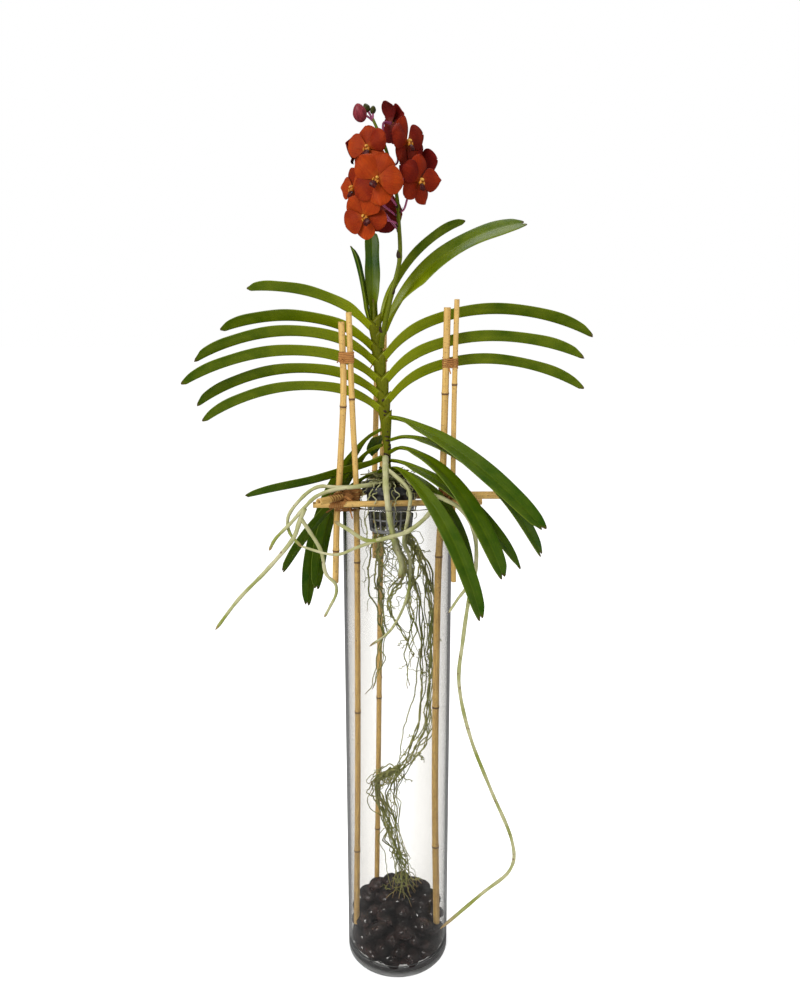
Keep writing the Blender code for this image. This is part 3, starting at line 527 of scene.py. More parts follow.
# %% Polished dark stone
def make_pebble_stone():
    """Nearly black stone with paler brown clouds, fine grey specks and a polished skin."""
    material, tree, shader = start_material("river_pebble", 0.22)
    place = object_place(tree)
    clouds = effect(tree, blotches, place, Scale=55.0, From=0.42, To=0.68)
    stone_by_stone = effect(tree, blotches, place, Scale=22.0, From=0.45, To=0.62)
    spots = effect(tree, specks, place, Scale=900.0, Size=0.22)
    dark = mix_colours(tree, stone_by_stone, (0.0022, 0.0014, 0.0014), (0.018, 0.0095, 0.0085))
    brown = mix_colours(tree, clouds, dark, (0.034, 0.018, 0.015))
    colour = mix_colours(tree, multiply(tree, spots, 0.2), brown, (0.08, 0.07, 0.06))
    dress(tree, shader, colour, remap(tree, clouds, 0, 1, 0.12, 0.28), {"Specular IOR Level": 0.45})
    give_bump(tree, shader, clouds, 0.0003, 0.4)
    return material


river_pebble = make_pebble_stone()
print("made", river_pebble.name)

# %% Pour the pebbles
pebble_random = random.Random(11)
PEBBLE_LENGTH = 0.03
STONES_IN_LAYER = 11
pebble_low, pebble_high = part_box("pebbles")
print("the solid of the pebbles reaches from", tuple(pebble_low), "to", tuple(pebble_high))
pebble_reach = inner_radius - 0.0008


def pebble(place, scale=1.0):
    """One rounded stone, pressed against the glass where it would poke through."""
    bm = bmesh.new()
    layers(bm)
    bmesh.ops.create_icosphere(bm, subdivisions=3, radius=0.5)
    lumps = [(random_vector(pebble_random, 1).normalized(), pebble_random.uniform(-0.1, 0.1))
             for _ in range(5)]
    for vert in bm.verts:
        direction = vert.co.normalized()
        swell = sum(amount * max(0, direction.dot(toward)) ** 2 for toward, amount in lumps)
        vert.co *= 1 + swell
    size = Vector((pebble_random.uniform(0.85, 1.08), pebble_random.uniform(0.62, 0.85),
                   pebble_random.uniform(0.48, 0.66))) * PEBBLE_LENGTH * scale
    bmesh.ops.scale(bm, vec=size, verts=bm.verts)
    turn = (Matrix.Rotation(pebble_random.uniform(0, math.tau), 4, "Z")
            @ Matrix.Rotation(pebble_random.uniform(-0.6, 0.6), 4, "X"))
    for vert in moved(bm, Matrix.Translation(place) @ turn).verts:
        reach = math.hypot(vert.co.x, vert.co.y)
        if reach > pebble_reach:
            vert.co.x *= pebble_reach / reach
            vert.co.y *= pebble_reach / reach
        vert.co.z = max(vert.co.z, GLASS_FLOOR + 0.0012)
    return bm


def stone_ring(count, start, reach, height, uneven=0.0, scale=1.0):
    """Stones set evenly round the vase's axis, each raised by chance up to the uneven height."""
    for k in range(count):
        rise = pebble_random.uniform(0, uneven) if uneven else 0
        stones.append(pebble(on_circle(reach, math.tau * (k + start) / count, height + rise), scale))


stones = []
for layer_number in range(4):
    for k in range(STONES_IN_LAYER):
        angle = math.tau * (k + 0.5 * (layer_number % 2)) / STONES_IN_LAYER
        angle += pebble_random.uniform(-0.08, 0.08)
        height = GLASS_FLOOR + 0.01 + layer_number * 0.0145 + pebble_random.uniform(-0.002, 0.003)
        stones.append(pebble(on_circle(0.058, angle, height)))
stone_ring(14, 0.25, 0.061, GLASS_FLOOR + 0.008, scale=0.9)
for height in (0.022, 0.038, 0.053):
    for count, reach in ((8, 0.039), (4, 0.017)):
        for k in range(count):
            angle = math.tau * (k + pebble_random.random() * 0.5) / count
            stones.append(pebble(on_circle(reach, angle, height), 1.05))
stone_ring(8, 0.3, 0.036, 0.06, uneven=0.005)
stone_ring(5, 0.1, 0.021, 0.068, uneven=0.004)
# One stone in the middle of the heap, and the low rise behind it
for place in ((0.003, 0.004, 0.07), (-0.034, 0.034, 0.076), (-0.014, 0.044, 0.078), (0.008, 0.044, 0.08),
              (0.028, 0.036, 0.078), (-0.006, 0.026, 0.08), (-0.023, 0.03, 0.0665), (0.016, 0.024, 0.082),
              (-0.048, 0.02, 0.068), (0.046, 0.018, 0.07)):
    stones.append(pebble(place))
# A flat dark disc of the stone fills the gaps under the lowest stones, as painted shade there
gap_shade_disc = bmesh.new()
layers(gap_shade_disc)
bmesh.ops.create_icosphere(gap_shade_disc, subdivisions=5, radius=1.0)
for vert in gap_shade_disc.verts:
    vert.co *= 1 + 0.03 * math.sin(31 * vert.co.x) * math.cos(27 * vert.co.y)
bmesh.ops.scale(gap_shade_disc, vec=(0.0675, 0.0675, 0.005), verts=gap_shade_disc.verts)
bmesh.ops.translate(gap_shade_disc, vec=(0, 0, GLASS_FLOOR + 0.0064), verts=gap_shade_disc.verts)
stones.append(gap_shade_disc)
# The stones in the middle of the lowest layer, which the foot of the glass shows from below
stone_ring(7, 0, 0.026, GLASS_FLOOR + 0.007, scale=1.1)
finish_piece("pebble_bed", gather(stones), [river_pebble], ["pebbles"])

# %% [markdown]
# ## Bamboo canes
#
# The frame is thin whole bamboo: straw-coloured tubes with a raised brown ring at every joint of the plant.
# Three pairs of upright canes stand at the rim, one inside and one outside, and three rails lie across it.
# Each cane is swept along the route of its solid, though the inner ones reach 10 mm further down between
# the stones. The rings are marked on its points, so the finish can darken there.

# %% Straw-coloured bamboo
def make_bamboo():
    """Dry bamboo: fine lengthwise fibres, brown joints, weathered patches and small dark flecks."""
    material, tree, shader = start_material("bamboo", 0.42)
    straight = note_of(tree, "straight")
    ring = part_of(tree, note_of(tree, "share"), "X")
    fibres = effect(tree, streaks, straight, Across=1800.0, Along=22.0)
    patches = effect(tree, blotches, straight, Scale=70.0, From=0.4, To=0.66)
    flecks = effect(tree, blotches, straight, Scale=420.0, From=0.6, To=0.68)
    straw = mix_colours(tree, fibres, (0.47, 0.26, 0.055), (0.8, 0.54, 0.175))
    weathered = mix_colours(tree, multiply(tree, patches, 0.5), straw, (0.48, 0.28, 0.075))
    flecked = mix_colours(tree, multiply(tree, flecks, 0.55), weathered, (0.12, 0.06, 0.02))
    colour = mix_colours(tree, remap(tree, ring, 0.25, 0.9), flecked, (0.13, 0.06, 0.022))
    dress(tree, shader, colour, remap(tree, patches, 0, 1, 0.34, 0.55),
          {"Coat Weight": 0.12, "Coat Roughness": 0.3})
    give_bump(tree, shader, fibres, 0.0003, 0.5)
    return material


bamboo = make_bamboo()
print("made", bamboo.name)

# %% Cane routes
# Points along each cane (m), the upright ones from the top, then the radius (m)
INNER_CANES = {
    "left": ([(-0.0615, -0.037, 0.95), (-0.0585, -0.036, 0.83), (-0.054, -0.034, 0.705),
              (-0.0535, -0.032, 0.6), (-0.056, -0.03, 0.3), (-0.06, -0.029, 0.058)], 0.0038),
    "right": ([(0.064, -0.028, 0.956), (0.0625, -0.027, 0.85), (0.06, -0.025, 0.72),
               (0.0545, -0.026, 0.59), (0.053, -0.028, 0.3), (0.057, -0.028, 0.058)], 0.0045),
    "back": ([(-0.0185, 0.06, 0.93), (-0.02, 0.06, 0.82), (-0.0225, 0.0605, 0.71),
              (-0.026, 0.06, 0.56), (-0.03, 0.058, 0.3), (-0.034, 0.055, 0.07)], 0.004),
}
OUTER_CANES = {
    "left": ([(-0.071, -0.037, 0.938), (-0.0695, -0.036, 0.85), (-0.0755, -0.036, 0.75),
              (-0.0808, -0.036, 0.68), (-0.084, -0.036, 0.592)], 0.0042),
    "right": ([(0.076, -0.029, 0.966), (0.0742, -0.03, 0.85), (0.0738, -0.0323, 0.75),
               (0.0743, -0.0328, 0.68), (0.0765, -0.0325, 0.592)], 0.0034),
    "back": ([(-0.0285, 0.066, 0.935), (-0.03, 0.068, 0.84), (-0.0325, 0.073, 0.75),
              (-0.0345, 0.0765, 0.68), (-0.0355, 0.0785, 0.595)], 0.004),
}
RAILS = {
    "front": ([(-0.11, -0.057, 0.7043), (0.112, -0.0375, 0.7043)], 0.004),
    "left": ([(-0.0992, -0.0907, 0.7155), (-0.002, 0.0776, 0.7048)], 0.0045),
    "right": ([(0.134, -0.0637, 0.7188), (-0.0333, 0.053, 0.6943)], 0.005),
}
print("canes:", len(INNER_CANES) + len(OUTER_CANES) + len(RAILS))


# %% Grow a cane
def along_route(route, distance):
    """The point so far along a route."""
    for a, b in zip(route, route[1:]):
        step = (b - a).length
        if distance <= step:
            return a.lerp(b, distance / step)
        distance -= step
    return route[-1]


def hollow_end(bm, centre, outward, radius):
    """Sink the flat end of a cane, so the tube's dark hollow shows."""
    caps = [face for face in bm.faces
            if len(face.verts) > 8 and (face.calc_center_median() - centre).length < radius]
    bmesh.ops.inset_region(bm, faces=caps, thickness=radius * 0.38, use_even_offset=True)
    sunk = bmesh.ops.extrude_face_region(bm, geom=caps)["geom"]
    bmesh.ops.delete(bm, geom=caps, context="FACES_ONLY")
    sunk_verts = [g for g in sunk if isinstance(g, bmesh.types.BMVert)]
    bmesh.ops.translate(bm, vec=-outward * radius * 2.2, verts=sunk_verts)


def cane(name, route, radius, first_ring, spacing, node):
    """A cane with a swollen ring at each joint and a hollow at both ends."""
    route = smooth_route(route, 8) if len(route) > 2 else [Vector(p) for p in route]
    total = sum((b - a).length for a, b in zip(route, route[1:]))
    marks_at = {0.0: (0.96, 0.3), 0.0012: (1.0, 0.0), total - 0.0012: (1.0, 0.0), total: (0.96, 0.3)}
    distance = 0.012
    while distance < total - 0.008:
        marks_at[distance] = (1.0, 0.0)
        distance += 0.012
    ring = first_ring
    while ring < total - 0.02:
        for near in [d for d in marks_at if abs(d - ring) < 0.009]:
            del marks_at[near]
        for offset, swell, mark in ((-0.007, 1.0, 0.0), (-0.0028, 1.05, 0.1), (-0.0012, 1.15, 0.55),
                                    (-0.0002, 1.16, 1.0), (0.0004, 1.02, 1.0), (0.0012, 1.1, 0.7),
                                    (0.0022, 1.04, 0.2), (0.006, 1.0, 0.0)):
            marks_at[ring + offset] = (swell, mark)
        ring += spacing
    distances = sorted(marks_at)
    points = [along_route(route, d) for d in distances]
    bm = sweep(points, [radius * marks_at[d][0] for d in distances], sides=20,
               marks=[marks_at[d][1] for d in distances])
    for end, inward in ((points[0], points[1]), (points[-1], points[-2])):
        hollow_end(bm, end, (end - inward).normalized(), radius)
    finish_piece(name, bm, [bamboo], [node])


for kind, node, canes, first_ring, spacing in (
        ("inner_cane_", "cane_inner_", INNER_CANES, 0.11, 0.22),
        ("outer_cane_", "cane_outer_", OUTER_CANES, 0.108, 0.194),
        ("rim_rail_", "rail_", RAILS, 0.1, 0.17)):
    for side, (route, radius) in canes.items():
        cane(kind + side, route, radius, first_ring, spacing, node + side)

# %% [markdown]
# ## Raffia
#
# Flat strips of palm fibre tie each pair of canes near the top and lash the corners of the frame. A strip
# is a very flat bar swept along a coil that hugs both canes. Several strips wander up and down at random
# and a few loose ends stick out, because this was tied by hand.

# %% Dry palm fibre
def make_raffia():
    """Reddish-brown fibre with pale streaks."""
    material, tree, shader = start_material("raffia", 0.7)
    straight = note_of(tree, "straight")
    tone = part_of(tree, note_of(tree, "share"), "Y")
    fibres = effect(tree, streaks, straight, Across=5200.0, Along=60.0)
    base = mix_colours(tree, tone, (0.13, 0.038, 0.009), (0.44, 0.185, 0.048))
    colour = mix_colours(tree, multiply(tree, fibres, 0.4), base, (0.55, 0.29, 0.1))
    dress(tree, shader, colour, levels={"Specular IOR Level": 0.15})
    give_bump(tree, shader, fibres, 0.0003, 0.7)
    return material


raffia = make_raffia()
tie_random = random.Random(5)
strip_lengths = []


def strip(points, broad_sides, width=0.0019, tone=0.5, flat=0.26):
    """A flat strip of fibre."""
    strip_lengths.append(sum((second - first).length for first, second in zip(points, points[1:])))
    return sweep(points, [width / 2] * len(points), sides=8, flat=flat, broad_sides=broad_sides, note=tone)


def wind(first, second, first_radius, second_radius, axis, height, turns, strips, width=0.0019, loose=1.0):
    """Coils of strip round two parallel bars, with the coil's height along the axis. Loose 0 is neat."""
    parts = []
    across = second - first
    across -= axis * across.dot(axis)
    gap = across.length
    across = across.normalized() if gap > 0.0001 else axis.orthogonal().normalized()
    square = axis.cross(across)
    middle = (first + second) / 2
    for _ in range(strips):
        start = tie_random.uniform(0, math.tau) * loose
        skew = tie_random.uniform(-0.25, 0.25) * loose
        shift = tie_random.uniform(-0.1, 0.1) * height * loose
        lift = tie_random.uniform(0.0003, 0.0011)
        points = []
        steps = int(turns * 20)
        for k in range(steps + 1):
            angle = start + math.tau * turns * k / steps
            pull = max(-1.0, min(1.0, 2.4 * math.cos(angle)))
            radius = (second_radius if pull > 0 else first_radius) + lift + 0.0003 * math.sin(3.7 * angle)
            rise = height * (k / steps - 0.5) + skew * height * 0.3 * math.cos(angle) + shift
            points.append(middle + across * (gap / 2 * pull + radius * math.cos(angle))
                          + square * (radius * math.sin(angle)) + axis * rise)
        parts.append(strip(points, [axis] * len(points), width * tie_random.uniform(0.7, 1.2),
                           tie_random.random()))
    return parts


def loose_ends(place, count, reach, outward, droop=0.4):
    """Short tails of strip that stand away from a knot."""
    parts = []
    for _ in range(count):
        aim = (outward + random_vector(tie_random, 1, 0.6, 0.9)).normalized()
        length = reach * tie_random.uniform(0.5, 1.0)
        start = place + random_vector(tie_random, 1) * 0.004
        bend = aim + Vector((tie_random.uniform(-0.5, 0.5), 0, -droop))
        points = smooth_route([start, start + aim * length * 0.4, start + (aim + bend) * length * 0.42,
                               start + (aim + bend * 2) * length * 0.38], 4)
        parts.append(strip(points, [aim.cross(Vector((0.2, 0.9, 0.3)))] * len(points),
                           0.0015 * tie_random.uniform(0.6, 1.2), tie_random.random()))
    return parts


def loops(place, count, reach, outward):
    """Slack bows of thin fibre that leave a knot and come back to it."""
    parts = []
    for _ in range(count):
        aim = (outward + Vector((tie_random.gauss(0, 0.6), tie_random.gauss(0, 0.3),
                                 tie_random.gauss(0, 0.8)))).normalized()
        tilt = Vector((tie_random.uniform(-0.3, 0.3), 1, tie_random.uniform(-0.3, 0.3)))
        aside = aim.cross(tilt).normalized()
        length = reach * tie_random.uniform(0.55, 1.0)
        open_by = length * tie_random.uniform(0.25, 0.45)
        start = place + Vector((tie_random.uniform(-1, 1), 0.3, tie_random.uniform(-1, 1))) * 0.006
        points = smooth_route([start, start + aim * length * 0.6 + aside * open_by, start + aim * length,
                               start + aim * length * 0.55 - aside * open_by, start + aside * 0.002], 6)
        parts.append(strip(points, [aim.cross(aside)] * len(points), 0.0011 * tie_random.uniform(0.7, 1.2),
                           tie_random.random(), 0.45))
    return parts


def pair_at(side, height):
    """The middles of a pair's inner and outer cane at a height, with their radii."""
    (inner_route, inner_radius), (outer_route, outer_radius) = INNER_CANES[side], OUTER_CANES[side]
    return (at_height(smooth_route(inner_route, 8), height), at_height(smooth_route(outer_route, 8), height),
            inner_radius, outer_radius)


def finish_raffia(kind, side, parts):
    """Make the strips one piece and say how much raffia it took."""
    finish_piece("raffia_" + kind + "_" + side, gather(parts), [raffia], [kind + "_" + side])
    print("raffia in the", side, kind + ":", round(sum(strip_lengths), 2), "m")
    strip_lengths.clear()


print("made", raffia.name)

# %% Tie the tops of the cane pairs
TIE_HEIGHTS = {"left": 0.893, "right": 0.886, "back": 0.89}
for side, height in TIE_HEIGHTS.items():
    inner_at, outer_at, inner_r, outer_r = pair_at(side, height)
    upward = (pair_at(side, height + 0.01)[0] - inner_at).normalized()
    coils = wind(inner_at, outer_at, inner_r, outer_r, upward, 0.013, 5.5, 1, 0.0021, 0.2)
    coils += wind(inner_at, outer_at, inner_r, outer_r, upward, 0.0122, 5.2, 1, 0.0013, 0.9)
    front_of_pair = (inner_at + outer_at) / 2 + Vector((0, -0.005, 0))
    tails = loose_ends(front_of_pair, 3, 0.016, Vector((0.4 if side == "right" else -0.4, -0.5, -0.3)))
    finish_raffia("tie", side, coils + tails)

# %% Lash the corners of the frame
LASHINGS = {
    "left": (0.692, {"front": (0.09, 0.2), "left": (0.1, 0.36)}),
    "right": (0.7008, {"front": (0.86, 0.965), "right": (0.2, 0.42)}),
    "back": (0.7035, {"left": (0.72, 0.885), "right": (0.9, 0.99)}),
}
LASHING_TOP = 0.725
for side, (foot, spans) in LASHINGS.items():
    inner_at, outer_at, inner_r, outer_r = pair_at(side, (foot + LASHING_TOP) / 2)
    heart = (inner_at + outer_at) / 2
    parts = wind(inner_at, outer_at, inner_r, outer_r, raised(1), LASHING_TOP - foot, 6, 4, 0.0016)
    for rail, (near, far) in spans.items():
        (rail_start, rail_end), rail_r = RAILS[rail]
        rail_start = Vector(rail_start)
        rail_end = Vector(rail_end)
        rail_way = (rail_end - rail_start).normalized()
        span = (rail_end - rail_start).length * (far - near)
        rail_middle = rail_start.lerp(rail_end, (near + far) / 2)
        parts += wind(rail_middle, rail_middle, rail_r, rail_r, rail_way, span * 0.8, 7, 2, 0.0015)
        for beside, slant in ((inner_at, 1.2), (outer_at, -1.2)):
            parts += wind(rail_middle.lerp(beside, 0.5), heart, 0.0075, 0.0075,
                          (rail_way + raised(slant)).normalized(), 0.01, 2.3, 3, 0.0015)
    away = Vector(((inner_at.x + outer_at.x) * 4, -0.6 if side != "back" else 0.6, -0.1))
    parts += loose_ends(heart, 11, 0.024, away)
    parts += loops(heart + away.normalized() * 0.004, 7, 0.024, away.normalized())
    finish_raffia("lashing", side, parts)

# %% [markdown]
# ## The net pot
#
# The plant grows in a small dark mesh pot. Its deep plain collar sits between the rails, and slots below
# let the roots out. The collar and the two rings below it are spun outlines, and the ribs between the slots
# are narrow bars set round them.

# %% Moulded dark plastic
def make_pot_plastic():
    """Dull moulded plastic, greyer below the rim, with blotches of dried water on it."""
    material, tree, shader = start_material("pot_plastic", 0.5)
    place = object_place(tree)
    scale_marks = effect(tree, blotches, place, Scale=160.0, From=0.45, To=0.75)
    grain = effect(tree, specks, place, Scale=2600.0, Size=0.5)
    below_rim = remap(tree, part_of(tree, place, "Z"), 0.708, 0.696)
    body = mix_colours(tree, below_rim, (0.022, 0.023, 0.026), (0.19, 0.19, 0.19))
    colour = mix_colours(tree, multiply(tree, scale_marks, 0.5), body, (0.2, 0.2, 0.19))
    dress(tree, shader, colour, remap(tree, scale_marks, 0, 1, 0.42, 0.7))
    give_bump(tree, shader, grain, 0.00015, 0.4)
    return material


pot_plastic = make_pot_plastic()
print("made", pot_plastic.name)

# %% Mould the pot
POT_X = -0.009
POT_Y = -0.01
POT_WALL = 0.0016
POT_MIDDLE = Vector((POT_X, POT_Y, 0))
POT_RIBS = 20


def pot_ring(outline):
    """A closed outline spun a full turn about the pot's axis."""
    bm = bmesh.new()
    layers(bm)
    corners = [bm.verts.new((POT_X + x, POT_Y, z)) for x, z in outline]
    rim = [bm.edges.new(pair) for pair in zip(corners, corners[1:] + corners[:1])]
    bmesh.ops.spin(bm, geom=corners + rim, cent=(POT_X, POT_Y, 0), axis=(0, 0, 1), angle=math.tau, steps=72,
                   use_merge=True)
    bmesh.ops.remove_doubles(bm, verts=bm.verts, dist=0.00002)
    bmesh.ops.recalc_face_normals(bm, faces=bm.faces)
    return bm


def pot_rib(angle, top, foot, width, depth):
    """An upright bar between two slots, leaning in as the pot narrows."""
    bm = bmesh.new()
    layers(bm)
    bmesh.ops.create_cube(bm, size=1.0)
    bmesh.ops.bevel(bm, geom=list(bm.edges), offset=0.12, offset_type="OFFSET", segments=2, profile=0.5,
                    affect="EDGES", material=-1)
    length = math.hypot(top[0] - foot[0], top[1] - foot[1])
    bmesh.ops.scale(bm, vec=(depth, width, length), verts=bm.verts)
    lean = Matrix.Rotation(math.atan2(top[0] - foot[0], top[1] - foot[1]), 4, "Y")
    middle = Matrix.Translation(((top[0] + foot[0]) / 2, 0, (top[1] + foot[1]) / 2))
    swing = Matrix.Translation(POT_MIDDLE) @ Matrix.Rotation(angle, 4, "Z")
    return moved(bm, swing @ middle @ lean)


collar = pot_ring([(0.0309, 0.692), (0.0309, 0.724), (0.0314, 0.7245), (0.0383, 0.7245), (0.0388, 0.724),
                   (0.0388, 0.715), (0.0384, 0.7146), (0.0331, 0.7145), (0.0327, 0.7138), (0.0325, 0.6935),
                   (0.032, 0.692)])
bottom_ring = pot_ring([(0.019, 0.66), (0.019, 0.6618), (0.0268, 0.6618), (0.0272, 0.665), (0.029, 0.665),
                        (0.0286, 0.6605), (0.028, 0.66)])
middle_ring = pot_ring([(0.0287, 0.6775), (0.0288, 0.6792), (0.0306, 0.6792), (0.0305, 0.6775)])
ribs = [pot_rib(math.tau * (k + 0.5) / POT_RIBS, (0.0313, 0.693), (0.028, 0.663), 0.0021, POT_WALL)
        for k in range(POT_RIBS)]
finish_piece("mesh_pot", gather([collar, bottom_ring, middle_ring] + ribs), [pot_plastic], ["net_pot"],
             smooth=False)

# %% [markdown]
# ## Living green
#
# A vanda's stem is wrapped in the feet of its own leaves. Each foot is a flattened tube, cut off on a slant
# where the blade leaves it, and the next one higher up comes out of its mouth. Leaves are leathery straps
# folded along a keel. They are yellow-green by the stem and deep green outward, with fine lengthwise veins.

# %% Leathery leaf
def make_leaf_green(name, light, dark, rough):
    """Leaf skin: lengthwise veins, deeper green outward, a pale keel line and dry brown at the cut tip."""
    material, tree, shader = start_material(name, rough)
    straight = note_of(tree, "straight")
    share = note_of(tree, "share")
    along = part_of(tree, share, "Z")
    across = put(tree, "ShaderNodeMath", {0: part_of(tree, share, "X")}, operation="ABSOLUTE").outputs[0]
    veins = effect(tree, streaks, straight, Across=1500.0, Along=9.0)
    clouds = effect(tree, blotches, straight, Scale=26.0, From=0.36, To=0.66)
    fine_spots = effect(tree, blotches, straight, Scale=260.0, From=0.62, To=0.7)
    outward = remap(tree, along, 0.02, 0.55)
    base = mix_colours(tree, outward, light, dark)
    clouded = mix_colours(tree, multiply(tree, clouds, 0.45), base, light)
    veined = mix_colours(tree, multiply(tree, veins, 0.38), clouded, tuple(0.62 * c for c in dark))
    keel = remap(tree, across, 0.08, 0.0)
    keeled = mix_colours(tree, multiply(tree, keel, 0.22), veined, light)
    margin = remap(tree, across, 0.93, 1.0)
    edged = mix_colours(tree, multiply(tree, margin, 0.3), keeled, (0.26, 0.3, 0.03))
    spotted = mix_colours(tree, multiply(tree, fine_spots, 0.3), edged, (0.025, 0.035, 0.006))
    dry = remap(tree, along, 0.975, 1.0)
    colour = mix_colours(tree, multiply(tree, dry, 0.8), spotted, (0.085, 0.045, 0.015))
    dress(tree, shader, colour, remap(tree, clouds, 0, 1, rough - 0.07, rough + 0.1),
          {"Specular IOR Level": 0.18, "Subsurface Weight": 0.06, "Subsurface Radius": (0.002, 0.003, 0.001)})
    give_bump(tree, shader, veins, 0.0002, 0.35)
    return material


leaf_green = make_leaf_green("leaf_green", (0.235, 0.27, 0.001), (0.042, 0.082, 0.0002), 0.3)
# A darker copy of the leaf green, partly painted shade, for the low leaves and the young ones under the
# blooms
shaded_leaf_green = make_leaf_green("shaded_leaf_green", (0.135, 0.18, 0.0006), (0.02, 0.062, 0.0002), 0.33)
sheath_green = make_leaf_green("sheath_green", (0.145, 0.15, 0.001), (0.062, 0.078, 0.0006), 0.38)
print("made", leaf_green.name, sheath_green.name)

# %% Stem and its sheaths
STEM_ROUTE = [
    (-0.0125, -0.01, 0.7088), (-0.013, -0.01, 0.74), (-0.0145, -0.008, 0.783), (-0.019, -0.005, 0.849),
    (-0.0245, -0.002, 0.888), (-0.029, 0.0, 0.928), (-0.0315, 0.002, 0.967)]
STEM_RADIUS = 0.0046
# The growing tip is slim, hidden among the youngest leaves
STEM_TAPERS_FROM = 0.925
STEM_TAPER = 19
SHEATH_LENGTH = 0.034
SHEATH_FLATNESS = 0.74
# Above and below these heights the stem is bare
SHEATHED_FROM = 0.8
SHEATHED_TO = 0.95
# Height on the stem (m), heading (deg), length (m), rise at the base (deg), slope at the tip (deg), how
# early it bends, full width (m), fold of the half nearer the front and of the far half (deg), sweep (deg)
LEAVES = {
    "leaf_left_1": (0.932, 184, 0.165, 50, -4, 0.6, 0.031, 72, 30, 0),
    "leaf_left_2": (0.905, 171, 0.213, 52, -18, 0.5, 0.034, 74, 30, 0),
    "leaf_left_3": (0.886, 183, 0.245, 52, -29, 0.55, 0.033, 72, 34, 0),
    "leaf_left_4": (0.864, 184, 0.263, 47, -29, 0.55, 0.033, 74, 34, 0),
    "leaf_left_5": (0.843, 177, 0.257, 45, -34, 0.6, 0.032, 74, 38, 0),
    "leaf_left_6": (0.824, 182, 0.243, 43, -33, 0.6, 0.031, 72, 38, 0),
    "leaf_right_1": (0.919, 6, 0.249, 73, 7, 0.88, 0.034, -4, 56, 0),
    "leaf_right_2": (0.938, 26, 0.187, 76, 20, 0.9, 0.031, 68, 20, 0),
    "leaf_right_3": (0.89, 3, 0.297, 62, -26, 0.56, 0.033, 74, 34, 0),
    "leaf_right_4": (0.862, -4, 0.271, 63, -22, 0.5, 0.033, 74, 26, 0),
    "leaf_right_5": (0.836, 0, 0.273, 62, -29, 0.54, 0.032, 72, 34, 0),
    "leaf_top_back": (0.958, 97, 0.1, 87, 78, 1.0, 0.02, 28, 28, 0),
    "leaf_top_front": (0.952, 162, 0.085, 84, 70, 1.0, 0.018, 45, 35, 0),
    "leaf_low_right_1": (0.811, -35, 0.258, 0, -44, 0.5, 0.034, -6, 46, 6),
    "leaf_low_right_2": (0.784, -28, 0.266, 23, -64, 0.53, 0.028, 2, 44, 8),
    "leaf_low_right_3": (0.77, -40, 0.25, 38, -61, 0.34, 0.031, 10, 24, -12),
    "leaf_low_right_4": (0.754, -44, 0.232, 1, -58, 0.75, 0.027, 4, 36, 29),
    "leaf_low_right_5": (0.745, -58, 0.263, 12, -66, 0.53, 0.026, 8, 32, 4),
    "leaf_low_right_6": (0.74, -33, 0.225, 12, -96, 0.62, 0.022, 20, 24, 0),
    "leaf_low_left_1": (0.752, 186, 0.184, -24, -9, 0.36, 0.028, 68, 12, 8),
    "leaf_low_left_2": (0.739, 190, 0.192, -3, -59, 0.34, 0.024, 64, -36, 6),
    "leaf_low_left_3": (0.792, 157, 0.296, -25, -87, 0.5, 0.026, 60, -30, 0),
    "leaf_low_left_4": (0.772, 163, 0.24, -17, -87, 0.43, 0.026, 58, -26, 0),
    "leaf_low_left_5": (0.785, 110, 0.062, 10, -55, 0.5, 0.022, 26, 26, 0),
}


def sheath(height, heading):
    """One leaf foot: a flattened tube round the stem with a slanted, turned-in mouth."""
    turn = math.radians(heading)
    out = on_circle(1, turn)
    points = []
    radii = []
    rows = 9
    for k in range(rows + 1):
        share_up = k / rows
        z = height - SHEATH_LENGTH + share_up * (SHEATH_LENGTH + 0.004)
        points.append(at_height(STEM_ROUTE, z) + out * 0.0024 * share_up ** 2)
        radii.append(0.0048 + 0.0026 * math.sin(share_up * math.pi / 2))
    across = Vector((1, 0, 0))
    bm = sweep(points, radii, sides=24, flat=SHEATH_FLATNESS, broad_sides=[across] * len(points))
    share = layers(bm)[1]
    middle = points[-1]
    for vert in bm.verts:
        up = vert[share].z
        side = (vert.co - middle).x * (1 if out.x > 0 else -1)
        vert.co.z += up ** 3 * (0.95 * side + 0.002)
        vert[share] = (vert[share].x, 0, 0.1 + 0.5 * (1 - up))
    mouth = [face for face in bm.faces
             if len(face.verts) > 8 and face.calc_center_median().z > middle.z - 0.004]
    bmesh.ops.inset_region(bm, faces=mouth, thickness=0.0008, use_even_offset=True)
    bmesh.ops.translate(bm, vec=(0, 0, -0.004), verts=list({v for face in mouth for v in face.verts}))
    return bm


stem_points = smooth_route(STEM_ROUTE, 10)
stem_radii = []
for k, point in enumerate(stem_points):
    ripple = 0.06 * math.sin(point.z * 700) + 0.05 * math.sin(point.z * 1730 + 1)
    slimmer = max(0.3, 1 - STEM_TAPER * max(0, point.z - STEM_TAPERS_FROM))
    stem_radii.append(STEM_RADIUS * (1 + ripple) * slimmer)
stem_parts = [sweep(stem_points, stem_radii, sides=20)]
for spec in LEAVES.values():
    if SHEATHED_FROM < spec[0] < SHEATHED_TO:
        stem_parts.append(sheath(spec[0], spec[1]))
finish_piece("plant_stem", gather(stem_parts), [sheath_green], ["stem"])

# %% [markdown]
# ## Strap leaves
#
# Each leaf starts as a flat grid. Its long side is laid along a bending keel line and its two halves are
# folded up by their own angles, so the blade is a V that opens outward. The tip of a vanda leaf looks
# bitten off, with two uneven teeth, so the last rows are drawn in at the keel. Solidify gives the sheet
# its leathery thickness.

# %% Lay out a leaf
LEAF_THICKNESS = 0.0014
LEAF_ROWS = 44
LEAF_COLUMNS = 12
LEAF_BASE_FOLD = 66
LEAF_START = 0.013
# The youngest leaves come from deep inside the fan, so their feet reach this much further down
TOP_LEAF_REACH = 0.024
TOP_LEAF_BASE_FOLD = 48
